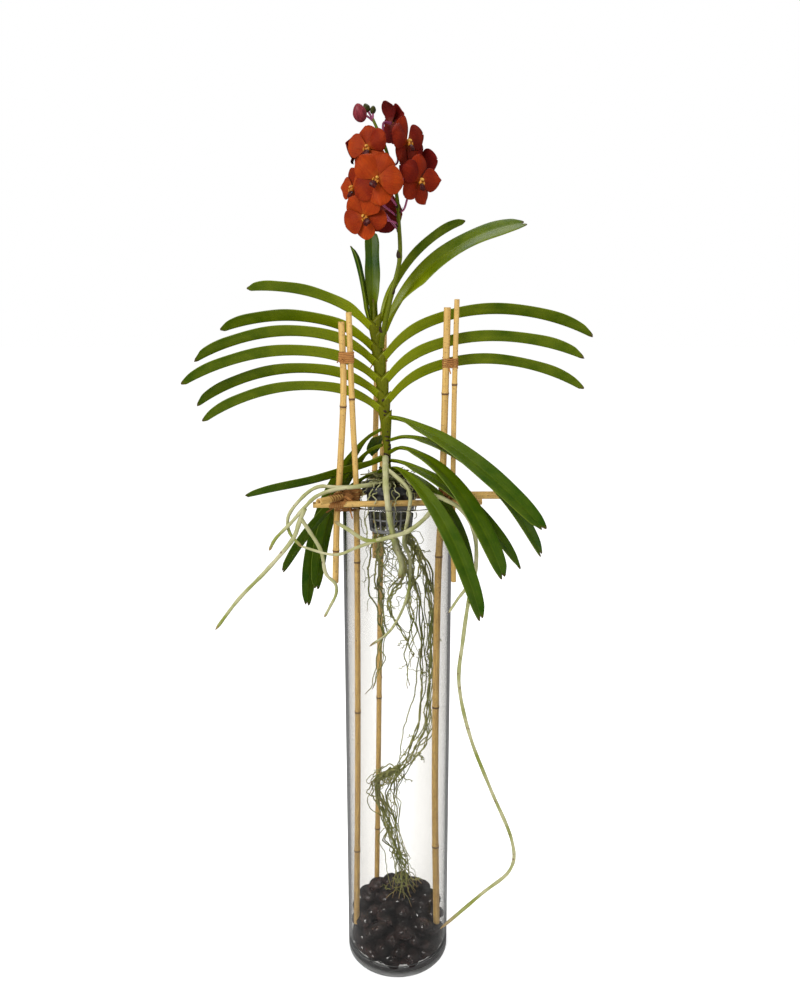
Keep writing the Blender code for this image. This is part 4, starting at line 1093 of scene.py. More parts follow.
# From this share of the length on, the tip is drawn in
TIP_FROM = 0.93
SLOW_TO_OPEN = {"leaf_right_1", "leaf_right_2", "leaf_top_back", "leaf_top_front"}
POINTED_LEAVES = {"leaf_low_right_4", "leaf_top_front", "leaf_low_left_5", "leaf_low_right_6"}
# Two blades open flatter than their solids: the folds of the near and far half (deg)
FLATTENED = {"leaf_right_1": (-22, 56), "leaf_low_left_1": (68, -10)}
leaf_random = random.Random(3)


def keel_line(spec, steps, reach=0.0):
    """Points, directions and side vectors along a leaf's keel. Reach lengthens its foot downward."""
    height, heading, length, rise, slope, bend = spec[:6]
    sweep_angle = spec[9]
    turn = math.radians(heading)
    outward = Vector((math.cos(turn), math.sin(turn) * 0.72, 0))
    place = at_height(STEM_ROUTE, height) + outward * LEAF_START
    foot = 0.0045
    drop = (LEAF_START - foot) * max(-0.5, min(1.0, math.tan(math.radians(rise))))
    points = [at_height(STEM_ROUTE, height - reach) + outward * foot - raised(drop)]
    directions = []
    sides = []
    for k in range(steps):
        along = (k + 0.5) / steps
        angle = math.radians(rise + (slope - rise) * along ** bend)
        turn = math.radians(heading + sweep_angle * along)
        direction = on_circle(math.cos(angle), turn, math.sin(angle))
        directions.append(direction)
        sides.append(Vector((-math.sin(turn), math.cos(turn), 0)))
        place = place + direction * (length / steps)
        points.append(place.copy())
    return points, directions + directions[-1:], sides + sides[-1:]


def leaf_half_width(name, width, along):
    """Half the breadth of the blade at this share of its length."""
    narrow, full_at = (0.42, 0.52) if "low" in name and name != "leaf_low_left_1" else (0.72, 0.22)
    width *= 1.0 if "low" in name else 1.1
    if name in ("leaf_right_1", "leaf_right_2"):
        narrow, full_at = (0.5, 0.38)
    opening = min(1, along / full_at)
    half = width / 2 * (narrow + (1 - narrow) * opening * opening * (3 - 2 * opening))
    taper = 0.8 if name in POINTED_LEAVES else 0.58
    half *= 1 - taper * max(0, (along - 0.78) / 0.22) ** 2
    return half * (1 + 0.03 * math.sin(along * 17 + len(name)))


def strap_leaf(name, spec):
    """One folded leaf with a keel, softly curved halves and a bitten tip."""
    length, width = spec[2], spec[6]
    near_fold, far_fold = FLATTENED.get(name, spec[7:9])
    fine = 3
    steps = LEAF_ROWS * fine
    base_fold = TOP_LEAF_BASE_FOLD if "top" in name else LEAF_BASE_FOLD
    opens_by = 0.34 if name in SLOW_TO_OPEN else 0.16
    points, directions, sides = keel_line(spec, steps, TOP_LEAF_REACH if "top" in name else 0.0)
    rising = 1 if directions[0].cross(sides[0]).z > 0 else -1
    tooth = leaf_random.choice((-1, 1))
    wave = leaf_random.uniform(0, math.tau)
    bm = bmesh.new()
    straight, share = layers(bm)
    bmesh.ops.create_grid(bm, x_segments=LEAF_ROWS, y_segments=LEAF_COLUMNS, size=1.0)
    for vert in bm.verts:
        along = (vert.co.x + 1) / 2
        across = vert.co.y
        tip = max(0, (along - TIP_FROM) / (1 - TIP_FROM))
        bite = 0.03 * math.exp(-(across / 0.22) ** 2) + 0.014 * (1 + tooth * across)
        if name in POINTED_LEAVES:
            bite = 0.0
        corner = 0.03 * abs(across) ** 4
        reach = along - tip * (bite + corner) * 0.03 / max(0.05, length) * 6
        position = min(steps, max(0.0, reach * steps))
        index = min(steps - 1, int(position))
        keel_point = points[index].lerp(points[index + 1], position - index)
        side = sides[index]
        lift = directions[index].cross(side).normalized() * rising
        fold = near_fold if across * side.y < 0 else far_fold
        fold = base_fold + (fold - base_fold) * min(1, along / opens_by)
        fold = math.radians(fold + 3.0 * math.sin(along * 9 + wave))
        half = leaf_half_width(name, width, along)
        size = abs(across)
        rounded = math.sqrt(size * size + 0.006) - 0.0775
        curl = 0.1 * size ** 3
        spread = side * (across * math.cos(fold)) + lift * (rounded * math.sin(fold) - curl)
        vert.co = keel_point + spread * half
        vert[straight] = (across * half, 0, along * length)
        vert[share] = (across, 0, along)
    bmesh.ops.recalc_face_normals(bm, faces=bm.faces)
    # The low and top leaves wear the darker copy, partly painted shade
    skin = shaded_leaf_green if "low" in name or "top" in name else leaf_green
    piece = finish_piece(name.replace("leaf", "blade"), bm, [skin], [name])
    add_wall(piece, LEAF_THICKNESS)
    add_subdivision(piece)


for name, spec in LEAVES.items():
    strap_leaf(name, spec)

# %% [markdown]
# ## Flower spike
#
# The spike rises from between two leaves, bends over to the right and back, and carries its flowers all
# round. It is a swept stalk with swollen joints. Small dark scales sit at the joints and at the foot of
# each flower's own stalk, and three closed buds finish the tip.

# %% Stalk and bud finishes
def make_stalk(name, low, high, freckle):
    """Waxy stalk: streaked along its length and lightly freckled."""
    material, tree, shader = start_material(name, 0.42)
    straight = note_of(tree, "straight")
    veins = effect(tree, streaks, straight, Across=1600.0, Along=30.0)
    freckles = effect(tree, blotches, straight, Scale=600.0, From=0.58, To=0.66)
    base = mix_colours(tree, veins, low, high)
    colour = mix_colours(tree, multiply(tree, freckles, 0.45), base, freckle)
    dress(tree, shader, colour, levels={"Specular IOR Level": 0.18, "Subsurface Weight": 0.08,
                                        "Subsurface Radius": (0.003, 0.002, 0.001)})
    give_bump(tree, shader, veins, 0.0002, 0.4)
    return material


spike_green = make_stalk("spike_green", (0.07, 0.092, 0.001), (0.135, 0.16, 0.004), (0.05, 0.015, 0.008))
pedicel_pink = make_stalk("pedicel_pink", (0.26, 0.04, 0.115), (0.42, 0.12, 0.22), (0.18, 0.03, 0.05))
bract_brown = make_stalk("bract_brown", (0.02, 0.014, 0.008), (0.06, 0.035, 0.018), (0.01, 0.006, 0.004))
bud_plum = make_stalk("bud_plum", (0.12, 0.008, 0.016), (0.23, 0.03, 0.04), (0.08, 0.006, 0.01))
bud_dark = make_stalk("bud_dark", (0.02, 0.02, 0.002), (0.05, 0.052, 0.005), (0.05, 0.012, 0.015))
print("made five stalk finishes")

# %% Raise the spike
SPIKE_ROUTE = [
    (-0.0209, -0.0075, 0.905), (-0.0185, -0.0155, 0.925), (-0.008, -0.021, 0.97), (0.003, -0.02, 1.015),
    (0.002, -0.018, 1.06), (-0.001, -0.016, 1.095), (-0.013, -0.014, 1.145), (-0.03, -0.012, 1.183)]
SPIKE_JOINTS = (0.923, 0.972, 1.017)
spike_line = smooth_route(SPIKE_ROUTE, 12)
spike_radii = []
for k, point in enumerate(spike_line):
    thin = 0.0036 + (0.0018 - 0.0036) * k / (len(spike_line) - 1)
    swell = sum(0.22 * math.exp(-((point.z - joint) / 0.0022) ** 2) for joint in SPIKE_JOINTS)
    spike_radii.append(thin * (1 + swell))


def spike_scale(height, outward, size):
    """A small pointed scale that clasps the spike."""
    foot = at_height(spike_line, height)
    points = [foot + outward * out + raised(size * rise)
              for out, rise in ((0.0022, 0), (0.0036, 0.4), (0.0046, 0.8), (0.0062, 1.15))]
    radii = [size * r for r in (0.3, 0.36, 0.38, 0.36, 0.32, 0.27, 0.2, 0.13, 0.07, 0.03)]
    return sweep(smooth_route(points, 3), radii, sides=10, flat=0.34,
                 broad_sides=[outward.cross(raised(1))] * 10)


def closed_bud(centre, aim, radius, reach):
    """A ball drawn out along its aim, with three shallow seams where the sepals meet."""
    bm = bmesh.new()
    straight = layers(bm)[0]
    bmesh.ops.create_uvsphere(bm, u_segments=72, v_segments=24, radius=1.0)
    for vert in bm.verts:
        around = math.atan2(vert.co.y, vert.co.x)
        seam = math.exp(-((math.sin(1.5 * around + 0.5 * vert.co.z)) / 0.13) ** 2) * (1 - vert.co.z ** 6)
        vert[straight] = vert.co * radius * 0.25
        pull = radius * (1 - 0.11 * seam) * (1 - 0.2 * max(0, vert.co.z)) * (1 + 0.05 * math.cos(3 * around))
        vert.co = Vector((vert.co.x * pull, vert.co.y * pull, vert.co.z * reach))
    turn = Vector(aim).to_track_quat("Z", "Y").to_matrix().to_4x4()
    return moved(bm, Matrix.Translation(centre) @ turn)


def finish_on_spike(name, bm, material):
    """A piece that stands for part of the spike's solid."""
    finish_piece(name, bm, [material], ["flower_spike"])


finish_on_spike("spike_stalk", sweep(spike_line, spike_radii, sides=16), spike_green)
spike_tip = spike_line[-1]
plum = closed_bud(spike_tip + Vector((-0.016, -0.006, 0.006)), (-0.004, -0.006, 0.014), 0.0086, 0.011)
finish_on_spike("plum_bud", plum, bud_plum)
small_buds = [
    closed_bud(spike_tip + Vector((-0.008, 0.002, 0.0135)), (-0.006, 0.002, 0.0135), 0.0044, 0.0056),
    closed_bud(spike_tip + Vector((0.0, 0.001, 0.011)), (0.002, 0.001, 0.011), 0.0038, 0.005)]
finish_on_spike("small_buds", gather(small_buds), bud_dark)
bud_stalks = []
for offset in ((-0.012, -0.0045, 0.0045), (-0.007, 0.0018, 0.011), (0.0, 0.001, 0.009)):
    offset = Vector(offset)
    stalk_line = smooth_route([spike_tip - raised(0.002), spike_tip + offset * 0.5, spike_tip + offset], 4)
    bud_stalks.append(sweep(stalk_line, [0.0013] * 9, sides=10))
finish_on_spike("bud_stalks", gather(bud_stalks), pedicel_pink)

# %% Scars on the lower stem
STEM_SCARS = 17
scar_random = random.Random(13)
scar_bands = []
for number in range(STEM_SCARS):
    middle = at_height(STEM_ROUTE, 0.742 + 0.0058 * number)
    start = math.radians(scar_random.uniform(-150, -60))
    reach = math.radians(scar_random.uniform(70, 150))
    tilt = scar_random.uniform(-0.004, 0.004)
    points = [middle + on_circle(0.0052, start + reach * k / 12, tilt * k / 12) for k in range(13)]
    size = scar_random.uniform(0.0009, 0.0021)
    scar_radii = [size * (0.35 + 0.65 * math.sin(math.pi * (k + 0.5) / 13)) for k in range(13)]
    scar_bands.append(sweep(points, scar_radii, sides=10, flat=0.35, broad_sides=[raised(1)] * 13))
finish_piece("stem_scars", gather(scar_bands), [bract_brown], ["stem"])

# %% [markdown]
# ## Blooms
#
# An open vanda flower has three sepals behind two petals, all broad and rounded on a narrow foot. In front
# sit a small dark lip with yellow side lobes and the pale column. Every lobe is a grid waisted at its foot,
# cupped and slightly ruffled. The front is orange-red with darker veins, and the back, which the second
# material slot dresses, is a darker, duller red, partly painted shade. The flowers on the right and on the
# far side wear darker copies of the front's red as painted shade.

# %% Petal finishes
def make_petal(name, light, deep, vein, throat):
    """Petal skin: veins that run out from the foot, deeper red in patches and a paler throat."""
    material, tree, shader = start_material(name, 0.58)
    straight = note_of(tree, "straight")
    share = note_of(tree, "share")
    along = part_of(tree, share, "Z")
    veins = effect(tree, streaks, straight, Across=1500.0, Along=60.0)
    clouds = effect(tree, blotches, straight, Scale=60.0, From=0.38, To=0.66)
    net = effect(tree, specks, straight, Scale=520.0, Size=0.42)
    lobe_tone = part_of(tree, share, "Y")
    depth = add(tree, multiply(tree, clouds, 0.4), multiply(tree, lobe_tone, 0.6))
    base = mix_colours(tree, depth, light, deep)
    veined = mix_colours(tree, multiply(tree, veins, 0.34), base, vein)
    netted = mix_colours(tree, multiply(tree, net, 0.12), veined, light)
    foot = remap(tree, along, 0.26, 0.0)
    colour = mix_colours(tree, multiply(tree, foot, 0.75), netted, throat)
    dress(tree, shader, colour, levels={"Specular IOR Level": 0.08, "Subsurface Weight": 0.15,
                                        "Subsurface Radius": (0.004, 0.001, 0.0006)})
    give_bump(tree, shader, add(tree, multiply(tree, veins, 0.6), multiply(tree, net, 0.4)), 0.0003, 0.5)
    return material


# The lit red of the flowers' fronts, then darker copies of it as painted shade: half shade for the flowers on
# the right, full shade for those on the far side
petal_face = make_petal("petal_face", (0.385, 0.048, 0.003), (0.13, 0.004, 0.0008), (0.085, 0.002, 0.001),
                        (0.3, 0.06, 0.004))
petal_half_shade = make_petal("petal_half_shade", (0.265, 0.021, 0.0015), (0.105, 0.0022, 0.0006), (0.06, 0.0012, 0.0006),
                       (0.26, 0.045, 0.003))
petal_shade = make_petal("petal_shade", (0.17, 0.0045, 0.0014), (0.075, 0.0012, 0.0006),
                        (0.045, 0.0008, 0.0006), (0.16, 0.02, 0.003))
# The backs of all lobes are a darker, duller red, partly painted shade
petal_back = make_petal("petal_back", (0.15, 0.007, 0.004), (0.075, 0.002, 0.002), (0.045, 0.0015, 0.002),
                        (0.2, 0.05, 0.035))


def make_plain_skin(name, first, second, rough):
    """A small fleshy part with soft clouds of a second colour."""
    material, tree, shader = start_material(name, rough)
    straight = note_of(tree, "straight")
    clouds = effect(tree, blotches, straight, Scale=420.0, From=0.42, To=0.62)
    colour = mix_colours(tree, clouds, first, second)
    dress(tree, shader, colour, levels={"Specular IOR Level": 0.25})
    give_bump(tree, shader, clouds, 0.0002, 0.4)
    return material


lip_maroon = make_plain_skin("lip_maroon", (0.03, 0.002, 0.003), (0.09, 0.007, 0.005), 0.45)
throat_yellow = make_plain_skin("throat_yellow", (0.55, 0.24, 0.02), (0.34, 0.06, 0.01), 0.4)
column_cream = make_plain_skin("column_cream", (0.62, 0.36, 0.06), (0.46, 0.16, 0.03), 0.4)
print("made petal, lip and column finishes")

# %% Shape one lobe
# Angle (deg), reach by half the span, breadth by the span, height at the foot and lift at the tip (m)
TEPALS = [
    (2, 0.98, 0.46, -0.0016, 0.0006), (74, 1.0, 0.5, 0.001, 0.003), (-71, 1.0, 0.49, 0.0016, 0.0034),
    (145, 0.98, 0.43, -0.0021, 0.0002), (-142, 0.97, 0.42, -0.0015, 0.0008)]
bloom_random = random.Random(21)


def lobe(length, width, height, lift, angle):
    """A petal or sepal drawn out along +Y from the flower's middle."""
    bm = bmesh.new()
    straight, share = layers(bm)
    bmesh.ops.create_grid(bm, x_segments=10, y_segments=18, size=1.0)
    ruffle = bloom_random.uniform(0, math.tau)
    bend = bloom_random.uniform(-0.07, 0.07)
    cupping = bloom_random.uniform(-0.3, 0.1)
    curling = bloom_random.uniform(-0.75, 0.25)
    tone = bloom_random.uniform(0, 1)
    for vert in bm.verts:
        across = vert.co.x
        rise = (vert.co.y + 1) / 2
        if rise < 0.5:
            along = 1.2 * rise
            full = 0.17 + 0.83 * math.sin(math.pi * rise) ** 1.25
        else:
            along = 0.6 + 0.4 * math.sin(math.pi * (rise - 0.5))
            full = max(0.05, math.cos(math.pi * (rise - 0.5))) ** 0.85
        reach = 0.0012 + (length - 0.0012) * along * (1 - 0.1 * across * across * along * full)
        half = full * width / 2
        cup = cupping * half * across * across + 0.07 * half * math.cos(math.pi * across)
        frill = 0.035 * width * math.sin(4.5 * across + 4 * along + ruffle) * along ** 2
        curl = curling * length * max(0, along - 0.45) ** 2
        x = across * half + bend * length * along ** 2
        vert[straight] = (across * half * 0.6, 0, reach)
        vert[share] = (across, tone, along)
        vert.co = (x, reach, height + lift * along + cup + frill + curl)
    bmesh.ops.rotate(bm, cent=(0, 0, 0), matrix=Matrix.Rotation(math.radians(angle), 3, "Z"), verts=bm.verts)
    return bm


def ball(centre, size):
    """A smooth fleshy knob."""
    bm = bmesh.new()
    straight = layers(bm)[0]
    bmesh.ops.create_icosphere(bm, subdivisions=3, radius=1.0)
    for vert in bm.verts:
        vert[straight] = vert.co * max(size)
    bmesh.ops.scale(bm, vec=size, verts=bm.verts)
    return moved(bm, Matrix.Translation(centre))


def lip_blade():
    """The tongue of the lip: a short strap that arches out and down, with a ridge along its middle."""
    bm = bmesh.new()
    straight, share = layers(bm)
    bmesh.ops.create_grid(bm, x_segments=6, y_segments=10, size=1.0)
    for vert in bm.verts:
        across = vert.co.x
        along = (vert.co.y + 1) / 2
        flare = 2.0 * max(0.0, along - 0.8)
        half = 0.0036 * (0.75 + 0.55 * math.sin(math.pi * along) + flare)
        ridge = 0.0007 * math.exp(-(across / 0.25) ** 2)
        angle = 0.5 + 1.7 * along
        place = Vector((across * half, -0.0028 - 0.0098 * math.sin(angle) * along - 0.001,
                        0.004 + 0.0052 * math.sin(math.pi * along * 0.72) - 0.0022 * along + ridge
                        - 0.0009 * across * across))
        vert[straight] = (across * half, 0, along * 0.011)
        vert[share] = (across, 0, along)
        vert.co = place
    return bm


print("bloom shapes ready")

# %% Open the blooms
# Centre (m), heading, pitch and roll (deg), span (m) and height of the stalk's foot on the spike (m)
BLOOMS = {
    "bloom_front": ((-0.024, -0.066, 1.105), -94, 4, -28, 0.063, 1.079),
    "bloom_upper_left": ((-0.0354, -0.046, 1.1435), -114, 8, 5, 0.053, 1.112),
    "bloom_left": ((-0.054, -0.028, 1.1), -146, 2, 8, 0.05, 1.068),
    "bloom_lower_left": ((-0.0398, -0.05, 1.064), -110, -6, 35, 0.056, 1.056),
    "bloom_top_right": ((-0.006, 0.014, 1.184), 32, 10, 0, 0.052, 1.148),
    "bloom_right_upper": ((0.0125, -0.022, 1.155), -34, 4, 4, 0.058, 1.128),
    "bloom_right_lower": ((0.028, -0.034, 1.108), -46, -4, -10, 0.053, 1.073),
    "bloom_back": ((-0.021, 0.034, 1.079), 100, 4, 12, 0.056, 1.05),
    "bloom_back_right": ((0.026, 0.022, 1.133), 40, 0, 0, 0.052, 1.098),
    "bloom_back_left": ((-0.05, 0.0, 1.145), 162, 4, 0, 0.048, 1.12),
}
# The flowers on the far side are given a deeper red, as painted shade, and broader lobes
SHADED_BLOOMS = {"bloom_top_right", "bloom_back", "bloom_back_right", "bloom_back_left"}
# Factors for the flowers whose lobes are longer than the others'
LONGER_BLOOMS = {"bloom_back_right": 1.28, "bloom_right_lower": 1.1, "bloom_right_upper": 1.05}
LOBE_BREADTH = 1.1
SHADED_BREADTH = 1.22
PETAL_THICKNESS = 0.0008
LIP_THICKNESS = 0.0009


def petal_finish(name):
    """The front of a bloom's lobes: the lit red, a half-shaded copy for the right-hand flowers, a shaded one
    for the far side.
    """
    if name in SHADED_BLOOMS:
        return petal_shade
    return petal_half_shade if name.startswith("bloom_right") else petal_face


def finish_bloom(name, kind, parts, materials, place=None, wall=None):
    """One piece of a bloom. A sheet gets a wall and is rounded off."""
    bm = gather(parts)
    if place is not None:
        moved(bm, place)
    piece = finish_piece(name + "_" + kind, bm, materials, [name])
    if wall:
        add_wall(piece, wall)
        add_subdivision(piece)


def open_bloom(name, spec):
    """Make all the pieces of one flower where its solid is, and return the scale at its foot."""
    centre, heading, pitch, roll, span, foot_height = spec
    centre = Vector(centre)
    heading = math.radians(heading)
    pitch = math.radians(pitch)
    facing = on_circle(math.cos(pitch), heading, math.sin(pitch))
    turn = facing.to_track_quat("Z", "Y").to_matrix().to_4x4() @ Matrix.Rotation(math.radians(roll), 4, "Z")
    place = Matrix.Translation(centre) @ turn
    broad = span * LOBE_BREADTH * (SHADED_BREADTH if name in SHADED_BLOOMS else 1.0)
    long = span / 2 * LONGER_BLOOMS.get(name, 1.0)
    lobes = [lobe(long * reach * bloom_random.uniform(0.99, 1.08), broad * breadth, height,
                  lift + bloom_random.uniform(-0.0012, 0.0016), angle + bloom_random.uniform(-5, 5))
             for angle, reach, breadth, height, lift in TEPALS]
    finish_bloom(name, "petals", lobes, [petal_finish(name), petal_back], place, PETAL_THICKNESS)
    finish_bloom(name, "lip", [lip_blade()], [lip_maroon], place, LIP_THICKNESS)
    side_lobes = [ball((x, -0.003, 0.004), (0.0011, 0.0026, 0.0024)) for x in (-0.003, 0.003)]
    tooth = ball((0, -0.0028, 0.0026), (0.0028, 0.0022, 0.0016))
    finish_bloom(name, "throat", side_lobes + [tooth], [throat_yellow], place)
    column = [ball((0, 0.001, 0.0024), (0.0019, 0.0021, 0.0036)),
              ball((0, 0.0006, 0.0056), (0.0014, 0.0015, 0.0011))]
    finish_bloom(name, "column", column, [column_cream], place)
    foot = at_height(spike_line, foot_height)
    back = centre - facing * 0.014
    out = Vector((back.x - foot.x, back.y - foot.y, 0)).normalized()
    start = foot + out * 0.0012
    rising = start + out * 0.0075 + raised(0.005)
    stalk_line = smooth_route([start, rising, back, centre - facing * 0.0012], 6)
    last = len(stalk_line) - 1
    stalk_radii = [0.00125 + 0.0007 * (k / last) ** 2 for k in range(last + 1)]
    finish_bloom(name, "stalk", [sweep(stalk_line, stalk_radii, sides=12)], [pedicel_pink])
    return spike_scale(foot_height - 0.0015, out, 0.0062)


bloom_scales = [open_bloom(name, spec) for name, spec in BLOOMS.items()]
joint_ways = (Vector((-0.8, -0.6, 0)), Vector((0.9, -0.4, 0)), Vector((-0.5, -0.85, 0)))
joint_scales = [spike_scale(joint, way.normalized(), 0.0085) for joint, way in zip(SPIKE_JOINTS, joint_ways)]
finish_on_spike("spike_scales", gather(bloom_scales + joint_scales), bract_brown)

# %% [markdown]
# ## Thick aerial roots
#
# A vanda drinks through thick cord-like roots with a silvery, spongy skin. They leave the stem just above
# the pot, hang over the rim, fork and wander. Each one is swept along the route of its solid, a little
# thicker and slightly uneven. Small brown scars and browner growing tips break up the pale skin.

# %% Spongy root skin
def make_root_skin(name, pale, green, scar, rough):
    """Root skin: pale grey-green with lengthwise wrinkles, green stretches, brown scars and fine dots."""
    material, tree, shader = start_material(name, rough)
    straight = note_of(tree, "straight")
    share = note_of(tree, "share")
    wrinkles = effect(tree, streaks, straight, Across=1500.0, Along=60.0)
    stretches = effect(tree, blotches, straight, Scale=19.0, From=0.42, To=0.6)
    scars = effect(tree, blotches, straight, Scale=130.0, From=0.64, To=0.7)
    dots = effect(tree, specks, straight, Scale=1500.0, Size=0.28)
    base = mix_colours(tree, stretches, pale, green)
    wrinkled = mix_colours(tree, multiply(tree, wrinkles, 0.3), base, tuple(0.55 * c for c in green))
    dotted = mix_colours(tree, multiply(tree, dots, 0.35), wrinkled, tuple(min(1, 1.25 * c) for c in pale))
    scarred = mix_colours(tree, multiply(tree, scars, 0.75), dotted, scar)
    tip = remap(tree, part_of(tree, share, "Z"), 0.955, 0.99)
    colour = mix_colours(tree, multiply(tree, tip, 0.8), scarred, (0.26, 0.15, 0.06))
    dress(tree, shader, colour, levels={"Specular IOR Level": 0.15})
    give_bump(tree, shader, add(tree, multiply(tree, wrinkles, 0.7), multiply(tree, dots, 0.3)), 0.0004, 0.6)
    return material


root_skin = make_root_skin("aerial_root", (0.53, 0.5, 0.3), (0.25, 0.28, 0.06), (0.13, 0.06, 0.024), 0.66)
fine_root_skin = make_root_skin("fine_root", (0.33, 0.315, 0.11), (0.125, 0.145, 0.014),
                                (0.06, 0.036, 0.012), 0.75)
print("made", root_skin.name, fine_root_skin.name)

# %% Grow the thick roots
# Each root is a route of points in metres with the radius at its start and at its tip
ROOT_FRONT = [
    ([(-0.016, -0.0168, 0.76), (-0.0155, -0.04, 0.749), (-0.0145, -0.061, 0.726), (-0.01, -0.064, 0.69),
      (-0.003, -0.064, 0.655), (0.005, -0.062, 0.628), (0.0035, -0.06, 0.606)], 0.0034, 0.0026),
    ([(-0.0155, -0.039, 0.749), (-0.003, -0.045, 0.741), (0.016, -0.059, 0.722), (0.014, -0.062, 0.69),
      (0.0085, -0.056, 0.655), (0.017, -0.048, 0.625), (0.013, -0.044, 0.575), (-0.008, -0.042, 0.528),
      (-0.038, -0.04, 0.502)], 0.0024, 0.0012),
]
ROOT_RIGHT = [
    ([(-0.011, -0.0159, 0.7325), (0.018, -0.037, 0.73), (0.038, -0.057, 0.72), (0.044, -0.074, 0.702),
      (0.018, -0.083, 0.678), (-0.01, -0.084, 0.668), (-0.038, -0.086, 0.664), (-0.064, -0.088, 0.68),
      (-0.08, -0.088, 0.69)], 0.0026, 0.0018),
    ([(0.038, -0.057, 0.72), (0.06, -0.076, 0.716), (0.085, -0.08, 0.7), (0.101, -0.07, 0.665),
      (0.104, -0.054, 0.615), (0.0962, -0.049, 0.572), (0.0893, -0.048, 0.514), (0.085, -0.046, 0.449),
      (0.1017, -0.044, 0.3695), (0.1319, -0.042, 0.288), (0.165, -0.042, 0.205), (0.164, -0.044, 0.158),
      (0.1215, -0.052, 0.123), (0.062, -0.065, 0.076)], 0.0022, 0.0019),
    ([(0.104, -0.054, 0.615), (0.093, -0.057, 0.593), (0.08, -0.056, 0.574), (0.069, -0.054, 0.555)],
     0.002, 0.0013),
    ([(-0.02, -0.0848, 0.6665), (-0.0516, -0.088, 0.6554), (-0.0813, -0.09, 0.6463), (-0.125, -0.09, 0.658)],
     0.0018, 0.0012),
]
ROOT_LEFT = [
    ([(-0.0165, -0.0168, 0.7268), (-0.045, -0.045, 0.7275), (-0.075, -0.052, 0.7265), (-0.102, -0.054, 0.728),
      (-0.122, -0.058, 0.716), (-0.141, -0.064, 0.692), (-0.14, -0.068, 0.67), (-0.124, -0.074, 0.652)],
     0.0022, 0.0015),
    ([(-0.0165, -0.0168, 0.7268), (-0.045, -0.0475, 0.7275), (-0.076, -0.0555, 0.7255),
      (-0.103, -0.06, 0.7175), (-0.12, -0.066, 0.703), (-0.137, -0.07, 0.684), (-0.157, -0.074, 0.664),
      (-0.166, -0.076, 0.648)], 0.0022, 0.0016),
    ([(-0.12, -0.066, 0.702), (-0.127, -0.0685, 0.684), (-0.137, -0.071, 0.66), (-0.17, -0.08, 0.622),
      (-0.205, -0.09, 0.587), (-0.236, -0.096, 0.547)], 0.0026, 0.0017),
    ([(-0.125, -0.068, 0.689), (-0.115, -0.066, 0.672), (-0.1, -0.066, 0.645), (-0.094, -0.068, 0.615),
      (-0.082, -0.066, 0.6), (-0.082, -0.056, 0.582), (-0.091, -0.05, 0.562), (-0.099, -0.046, 0.546)],
     0.0022, 0.0014),
]
# The spongy skin makes the roots this much thicker than their solids
SKIN_PLUMPNESS = 1.28
root_random = random.Random(8)


def thick_root(points, start_radius, tip_radius):
    """A pale root with uneven thickness and a rounded growing tip."""
    line = smooth_route(points, 12)
    last = len(line) - 1
    phase = root_random.uniform(0, math.tau)
    radii = []
    for k in range(last + 1):
        radius = SKIN_PLUMPNESS * (start_radius + (tip_radius - start_radius) * k / last)
        radius *= 1 + 0.06 * math.sin(k * 0.55 + phase) + 0.04 * math.sin(k * 1.31 + 2 * phase)
        left = (last - k) / 3
        radii.append(radius * (math.sqrt(max(0.06, 1 - (1 - left) ** 2)) if left < 1 else 1))
    return sweep(line, radii, sides=14)


for side, roots in (("front", ROOT_FRONT), ("left", ROOT_LEFT), ("right", ROOT_RIGHT)):
    grown_roots = gather([thick_root(*root) for root in roots])
    finish_piece("thick_roots_" + side, grown_roots, [root_skin], ["roots_" + side])

# %% [markdown]
# ## Fine roots and potting bits
#
# From the slots of the pot a mass of thin olive roots falls inside the glass, sweeps to one side and comes
# to rest on the stones. Each solid strand stands for a whole bundle, so a bundle of thin strands wanders
# about every route. The pot itself is filled with a ball of root, bark chips and moss.

# %% Grow the fine roots
FINE_ROOTS = [
    [(-0.005, -0.008, 0.672), (0.012, 0.0, 0.645), (0.034, 0.012, 0.61), (0.049, 0.018, 0.555),
     (0.054, 0.022, 0.48), (0.052, 0.024, 0.403), (0.046, 0.02, 0.332), (0.016, 0.006, 0.302),
     (-0.01, 0.0, 0.284), (-0.044, -0.004, 0.272)],
    [(0.0, -0.006, 0.672), (0.016, 0.006, 0.64), (0.04, 0.02, 0.59), (0.047, 0.03, 0.52),
     (0.048, 0.033, 0.43), (0.041, 0.03, 0.35), (0.012, 0.02, 0.292), (-0.014, 0.014, 0.246),
     (0.002, 0.01, 0.19), (0.013, 0.004, 0.14), (0.022, -0.004, 0.098)],
    [(-0.012, -0.004, 0.672), (0.002, 0.012, 0.63), (0.026, 0.032, 0.57), (0.034, 0.042, 0.48),
     (0.034, 0.043, 0.39), (0.022, 0.034, 0.32), (-0.006, 0.024, 0.262), (-0.004, 0.018, 0.215),
     (-0.002, 0.004, 0.15), (-0.01, -0.01, 0.102)],
    [(-0.018, -0.008, 0.672), (-0.026, -0.006, 0.64), (-0.031, 0.0, 0.6), (-0.027, 0.008, 0.56),
     (-0.021, 0.012, 0.52), (-0.025, 0.012, 0.47), (-0.036, 0.004, 0.42)],
    [(-0.01, -0.016, 0.672), (-0.005, -0.02, 0.64), (0.006, -0.024, 0.615), (0.003, -0.018, 0.585),
     (-0.012, -0.012, 0.56), (-0.006, -0.008, 0.53), (0.01, -0.006, 0.5), (0.024, -0.002, 0.47)],
    [(-0.002, -0.014, 0.672), (0.016, -0.012, 0.65), (0.022, -0.006, 0.61), (0.015, 0.002, 0.57),
     (0.02, 0.01, 0.52), (0.012, 0.014, 0.47), (0.019, 0.016, 0.42)],
]
STRANDS_PER_BUNDLE = (5, 5, 4, 5, 5, 5)
ROOTLETS_PER_BUNDLE = (14, 20, 12, 11, 11, 11)
POT_STRANDS = 17
LANDING_STRANDS = 18
CURLS_AT_TURN = 22
fine_random = random.Random(17)
ROOM_IN_GLASS = 0.0665


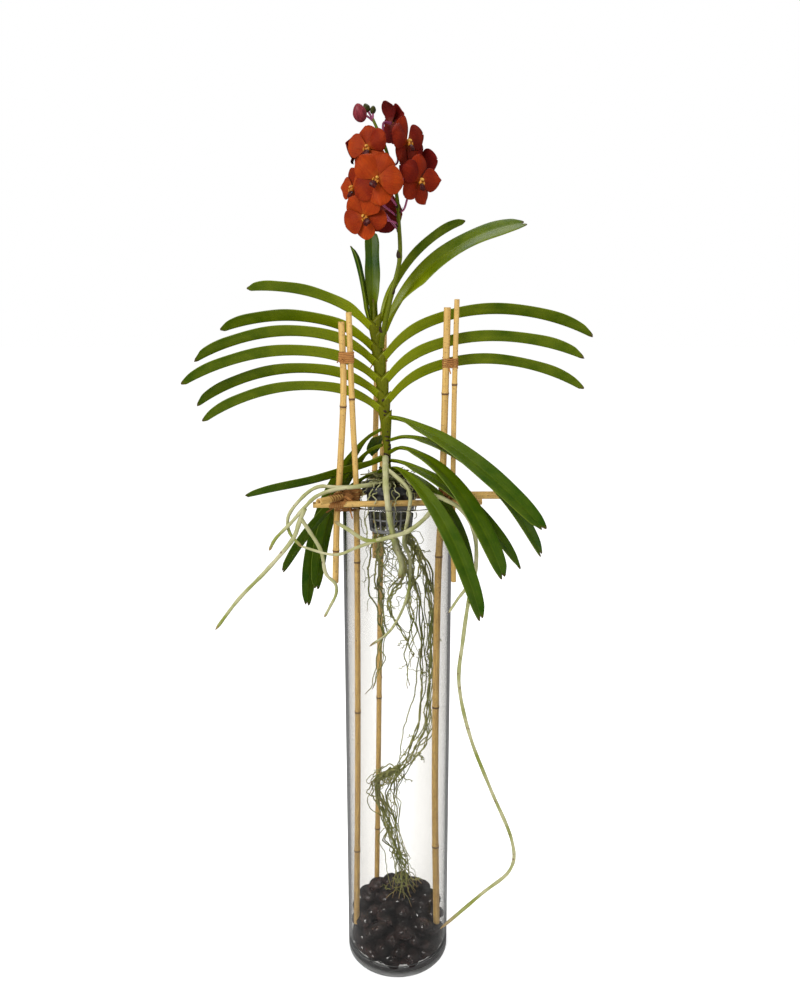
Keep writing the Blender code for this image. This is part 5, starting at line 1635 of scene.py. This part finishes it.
def wandering(route, spread, keep=1.0):
    """A copy of a route that strays from it by a slowly changing amount, kept inside the glass."""
    wander = Vector((fine_random.gauss(0, 1), fine_random.gauss(0, 1), 0)) * spread * 0.5
    points = []
    route = smooth_route(route, 3)
    count = max(8, round(len(route) * keep))
    for k, point in enumerate(route[:count]):
        wander = wander * 0.84 + gauss_vector(fine_random, z=0.8) * spread * 0.44
        place = Vector(point) + wander * min(1, 0.25 + k * 0.12)
        reach = math.hypot(place.x, place.y)
        if reach > ROOM_IN_GLASS and place.z < 0.7:
            place.x *= ROOM_IN_GLASS / reach
            place.y *= ROOM_IN_GLASS / reach
        points.append(place)
    return points


def fine_strand(points, thick):
    """A thin root with small kinks and a fading tip."""
    line = smooth_route(points, 3)
    last = len(line) - 1
    phase = fine_random.uniform(0, math.tau)
    for k in range(1, last):
        sway = Vector((math.sin(0.9 * k + phase), math.cos(1.1 * k + 2 * phase),
                       0.4 * math.sin(1.7 * k + phase)))
        line[k] = line[k] + sway * 0.0011 + gauss_vector(fine_random) * 0.0005
    return sweep(line, [thick * (1 - 0.55 * (k / last) ** 3) for k in range(last + 1)], sides=6)


strands = []
for route, count in zip(FINE_ROOTS, STRANDS_PER_BUNDLE):
    for number in range(count):
        keep = 1.0 if number < 2 else fine_random.uniform(0.55, 1.0)
        spread = 0.0015 if number == 0 else fine_random.uniform(0.004, 0.01)
        strands.append(fine_strand(wandering(route, spread, keep), fine_random.uniform(0.0007, 0.0014)))
pot_line = [(-0.009, -0.01, 0.672), (-0.009, -0.01, 0.655), (-0.006, -0.006, 0.63), (0.0, 0.0, 0.6),
            (0.0, 0.004, 0.57), (-0.004, 0.004, 0.545)]
for _ in range(POT_STRANDS):
    strands.append(fine_strand(wandering(pot_line, 0.024, fine_random.uniform(0.6, 1.0)),
                               fine_random.uniform(0.0004, 0.0009)))
for route, count in zip(FINE_ROOTS, ROOTLETS_PER_BUNDLE):
    line = smooth_route(route, 6)
    for _ in range(count):
        start = line[fine_random.randrange(4, len(line))]
        stray = Vector((fine_random.gauss(0, 1), fine_random.gauss(0, 1), fine_random.gauss(-0.5, 0.8)))
        stray = stray.normalized() * fine_random.uniform(0.01, 0.026)
        side_way = [start, start + stray * 0.35, start + stray * 0.7, start + stray]
        strands.append(fine_strand(wandering(side_way, 0.004), fine_random.uniform(0.0004, 0.0008)))
# The turned-back bundle that lands on the stones, and the loose curls where it turns
landing = [(0.004, 0.014, 0.292), (-0.026, 0.01, 0.272), (-0.03, 0.008, 0.25), (-0.016, 0.006, 0.205),
           (-0.004, 0.003, 0.16), (0.006, 0.0, 0.122)]
for k in range(LANDING_STRANDS):
    angle = math.tau * k / LANDING_STRANDS
    splay = fine_random.uniform(0.01, 0.032)
    foot = (0.01 + splay * math.cos(angle), -0.002 + 0.8 * splay * math.sin(angle),
            fine_random.uniform(0.088, 0.094))
    strands.append(fine_strand(wandering(landing + [foot], 0.005 if k % 2 else 0.013),
                               fine_random.uniform(0.0006, 0.0012)))
for _ in range(CURLS_AT_TURN):
    heart = Vector((-0.018 + fine_random.gauss(0, 0.014), 0.006 + fine_random.gauss(0, 0.006),
                    0.28 + fine_random.gauss(0, 0.008)))
    size = fine_random.uniform(0.005, 0.013)
    start = fine_random.uniform(0, math.tau)
    curl = [heart + Vector((size * math.cos(start + 0.8 * k), 0.5 * size * math.sin(start + 0.8 * k),
                            0.7 * size * math.sin(start + 0.8 * k + 0.6))) for k in range(6)]
    strands.append(fine_strand(curl, fine_random.uniform(0.0006, 0.001)))
finish_piece("fine_root_mass", gather(strands), [fine_root_skin], ["fine_roots"])

# %% Drape roots over the pot
DRAPED_ROOTS = 9
draped = []
for k in range(DRAPED_ROOTS):
    angle = math.radians(-165 + 150 * (k + 0.5) / DRAPED_ROOTS + fine_random.uniform(-9, 9))
    way = on_circle(1, angle)
    out = fine_random.uniform(0.0415, 0.0445)
    fall = fine_random.uniform(0.64, 0.695)
    drape = [POT_MIDDLE + way * reach + raised(height) for reach, height in (
        (0.018, 0.728), (0.032, 0.7305), (out, 0.724), (out + 0.002, 0.71), (out - 0.002, (0.71 + fall) / 2),
        (fine_random.uniform(0.03, 0.042), fall))]
    draped.append(fine_strand(wandering(drape, 0.0052), fine_random.uniform(0.0006, 0.0012)))
finish_piece("draped_roots", gather(draped), [root_skin], ["fine_roots"])

# %% Fill the pot
bark_brown = make_root_skin("bark", (0.075, 0.045, 0.022), (0.05, 0.05, 0.018), (0.01, 0.007, 0.004), 0.85)
moss_green = make_root_skin("moss", (0.215, 0.2, 0.085), (0.105, 0.125, 0.028), (0.03, 0.02, 0.01), 0.8)
BARK_CHIPS = 90
MOSS_CURLS = 110
fill_random = random.Random(29)


def bark_chip(place, size):
    """A flat broken chip with bevelled edges."""
    bm = bmesh.new()
    straight = layers(bm)[0]
    bmesh.ops.create_cube(bm, size=1.0)
    bmesh.ops.bevel(bm, geom=list(bm.edges), offset=0.16, offset_type="OFFSET", segments=1, profile=0.5,
                    affect="EDGES", material=-1)
    for vert in bm.verts:
        vert.co += random_vector(fill_random, 1) * 0.09
        vert[straight] = vert.co * size
    shape = Vector((1.0, fill_random.uniform(0.5, 0.8), fill_random.uniform(0.25, 0.5)))
    bmesh.ops.scale(bm, vec=shape * size, verts=bm.verts)
    turn = (Matrix.Rotation(fill_random.uniform(0, math.tau), 4, "Z")
            @ Matrix.Rotation(fill_random.uniform(-0.7, 0.7), 4, "X"))
    return moved(bm, Matrix.Translation(place) @ turn)


def in_pot(reach, height):
    """A random place in the pot, no further from its axis than the reach."""
    angle = fill_random.uniform(0, math.tau)
    radius = reach * math.sqrt(fill_random.random())
    return POT_MIDDLE + on_circle(radius, angle, height)


BALL_MIDDLE = POT_MIDDLE + raised(0.688)
root_ball = ball(BALL_MIDDLE, (0.0298, 0.0298, 0.024))
for vert in root_ball.verts:
    vert.co += (vert.co - BALL_MIDDLE).normalized() * fill_random.uniform(-0.0012, 0.0006)
chips = [root_ball]
chips += [bark_chip(in_pot(0.027, fill_random.uniform(0.711, 0.7255)), fill_random.uniform(0.005, 0.011))
          for _ in range(BARK_CHIPS)]
finish_piece("potting_bits", gather(chips), [bark_brown], ["fine_roots"])
curls = []
for _ in range(MOSS_CURLS):
    middle = in_pot(0.029, fill_random.uniform(0.719, 0.7395))
    stray = fill_random.uniform(0.004, 0.011)
    ends = [middle + gauss_vector(fill_random, z=0.35) * stray for _ in range(5)]
    curls.append(fine_strand(ends, fill_random.uniform(0.0005, 0.0012)))
finish_piece("pot_top_roots", gather(curls), [moss_green], ["fine_roots"])
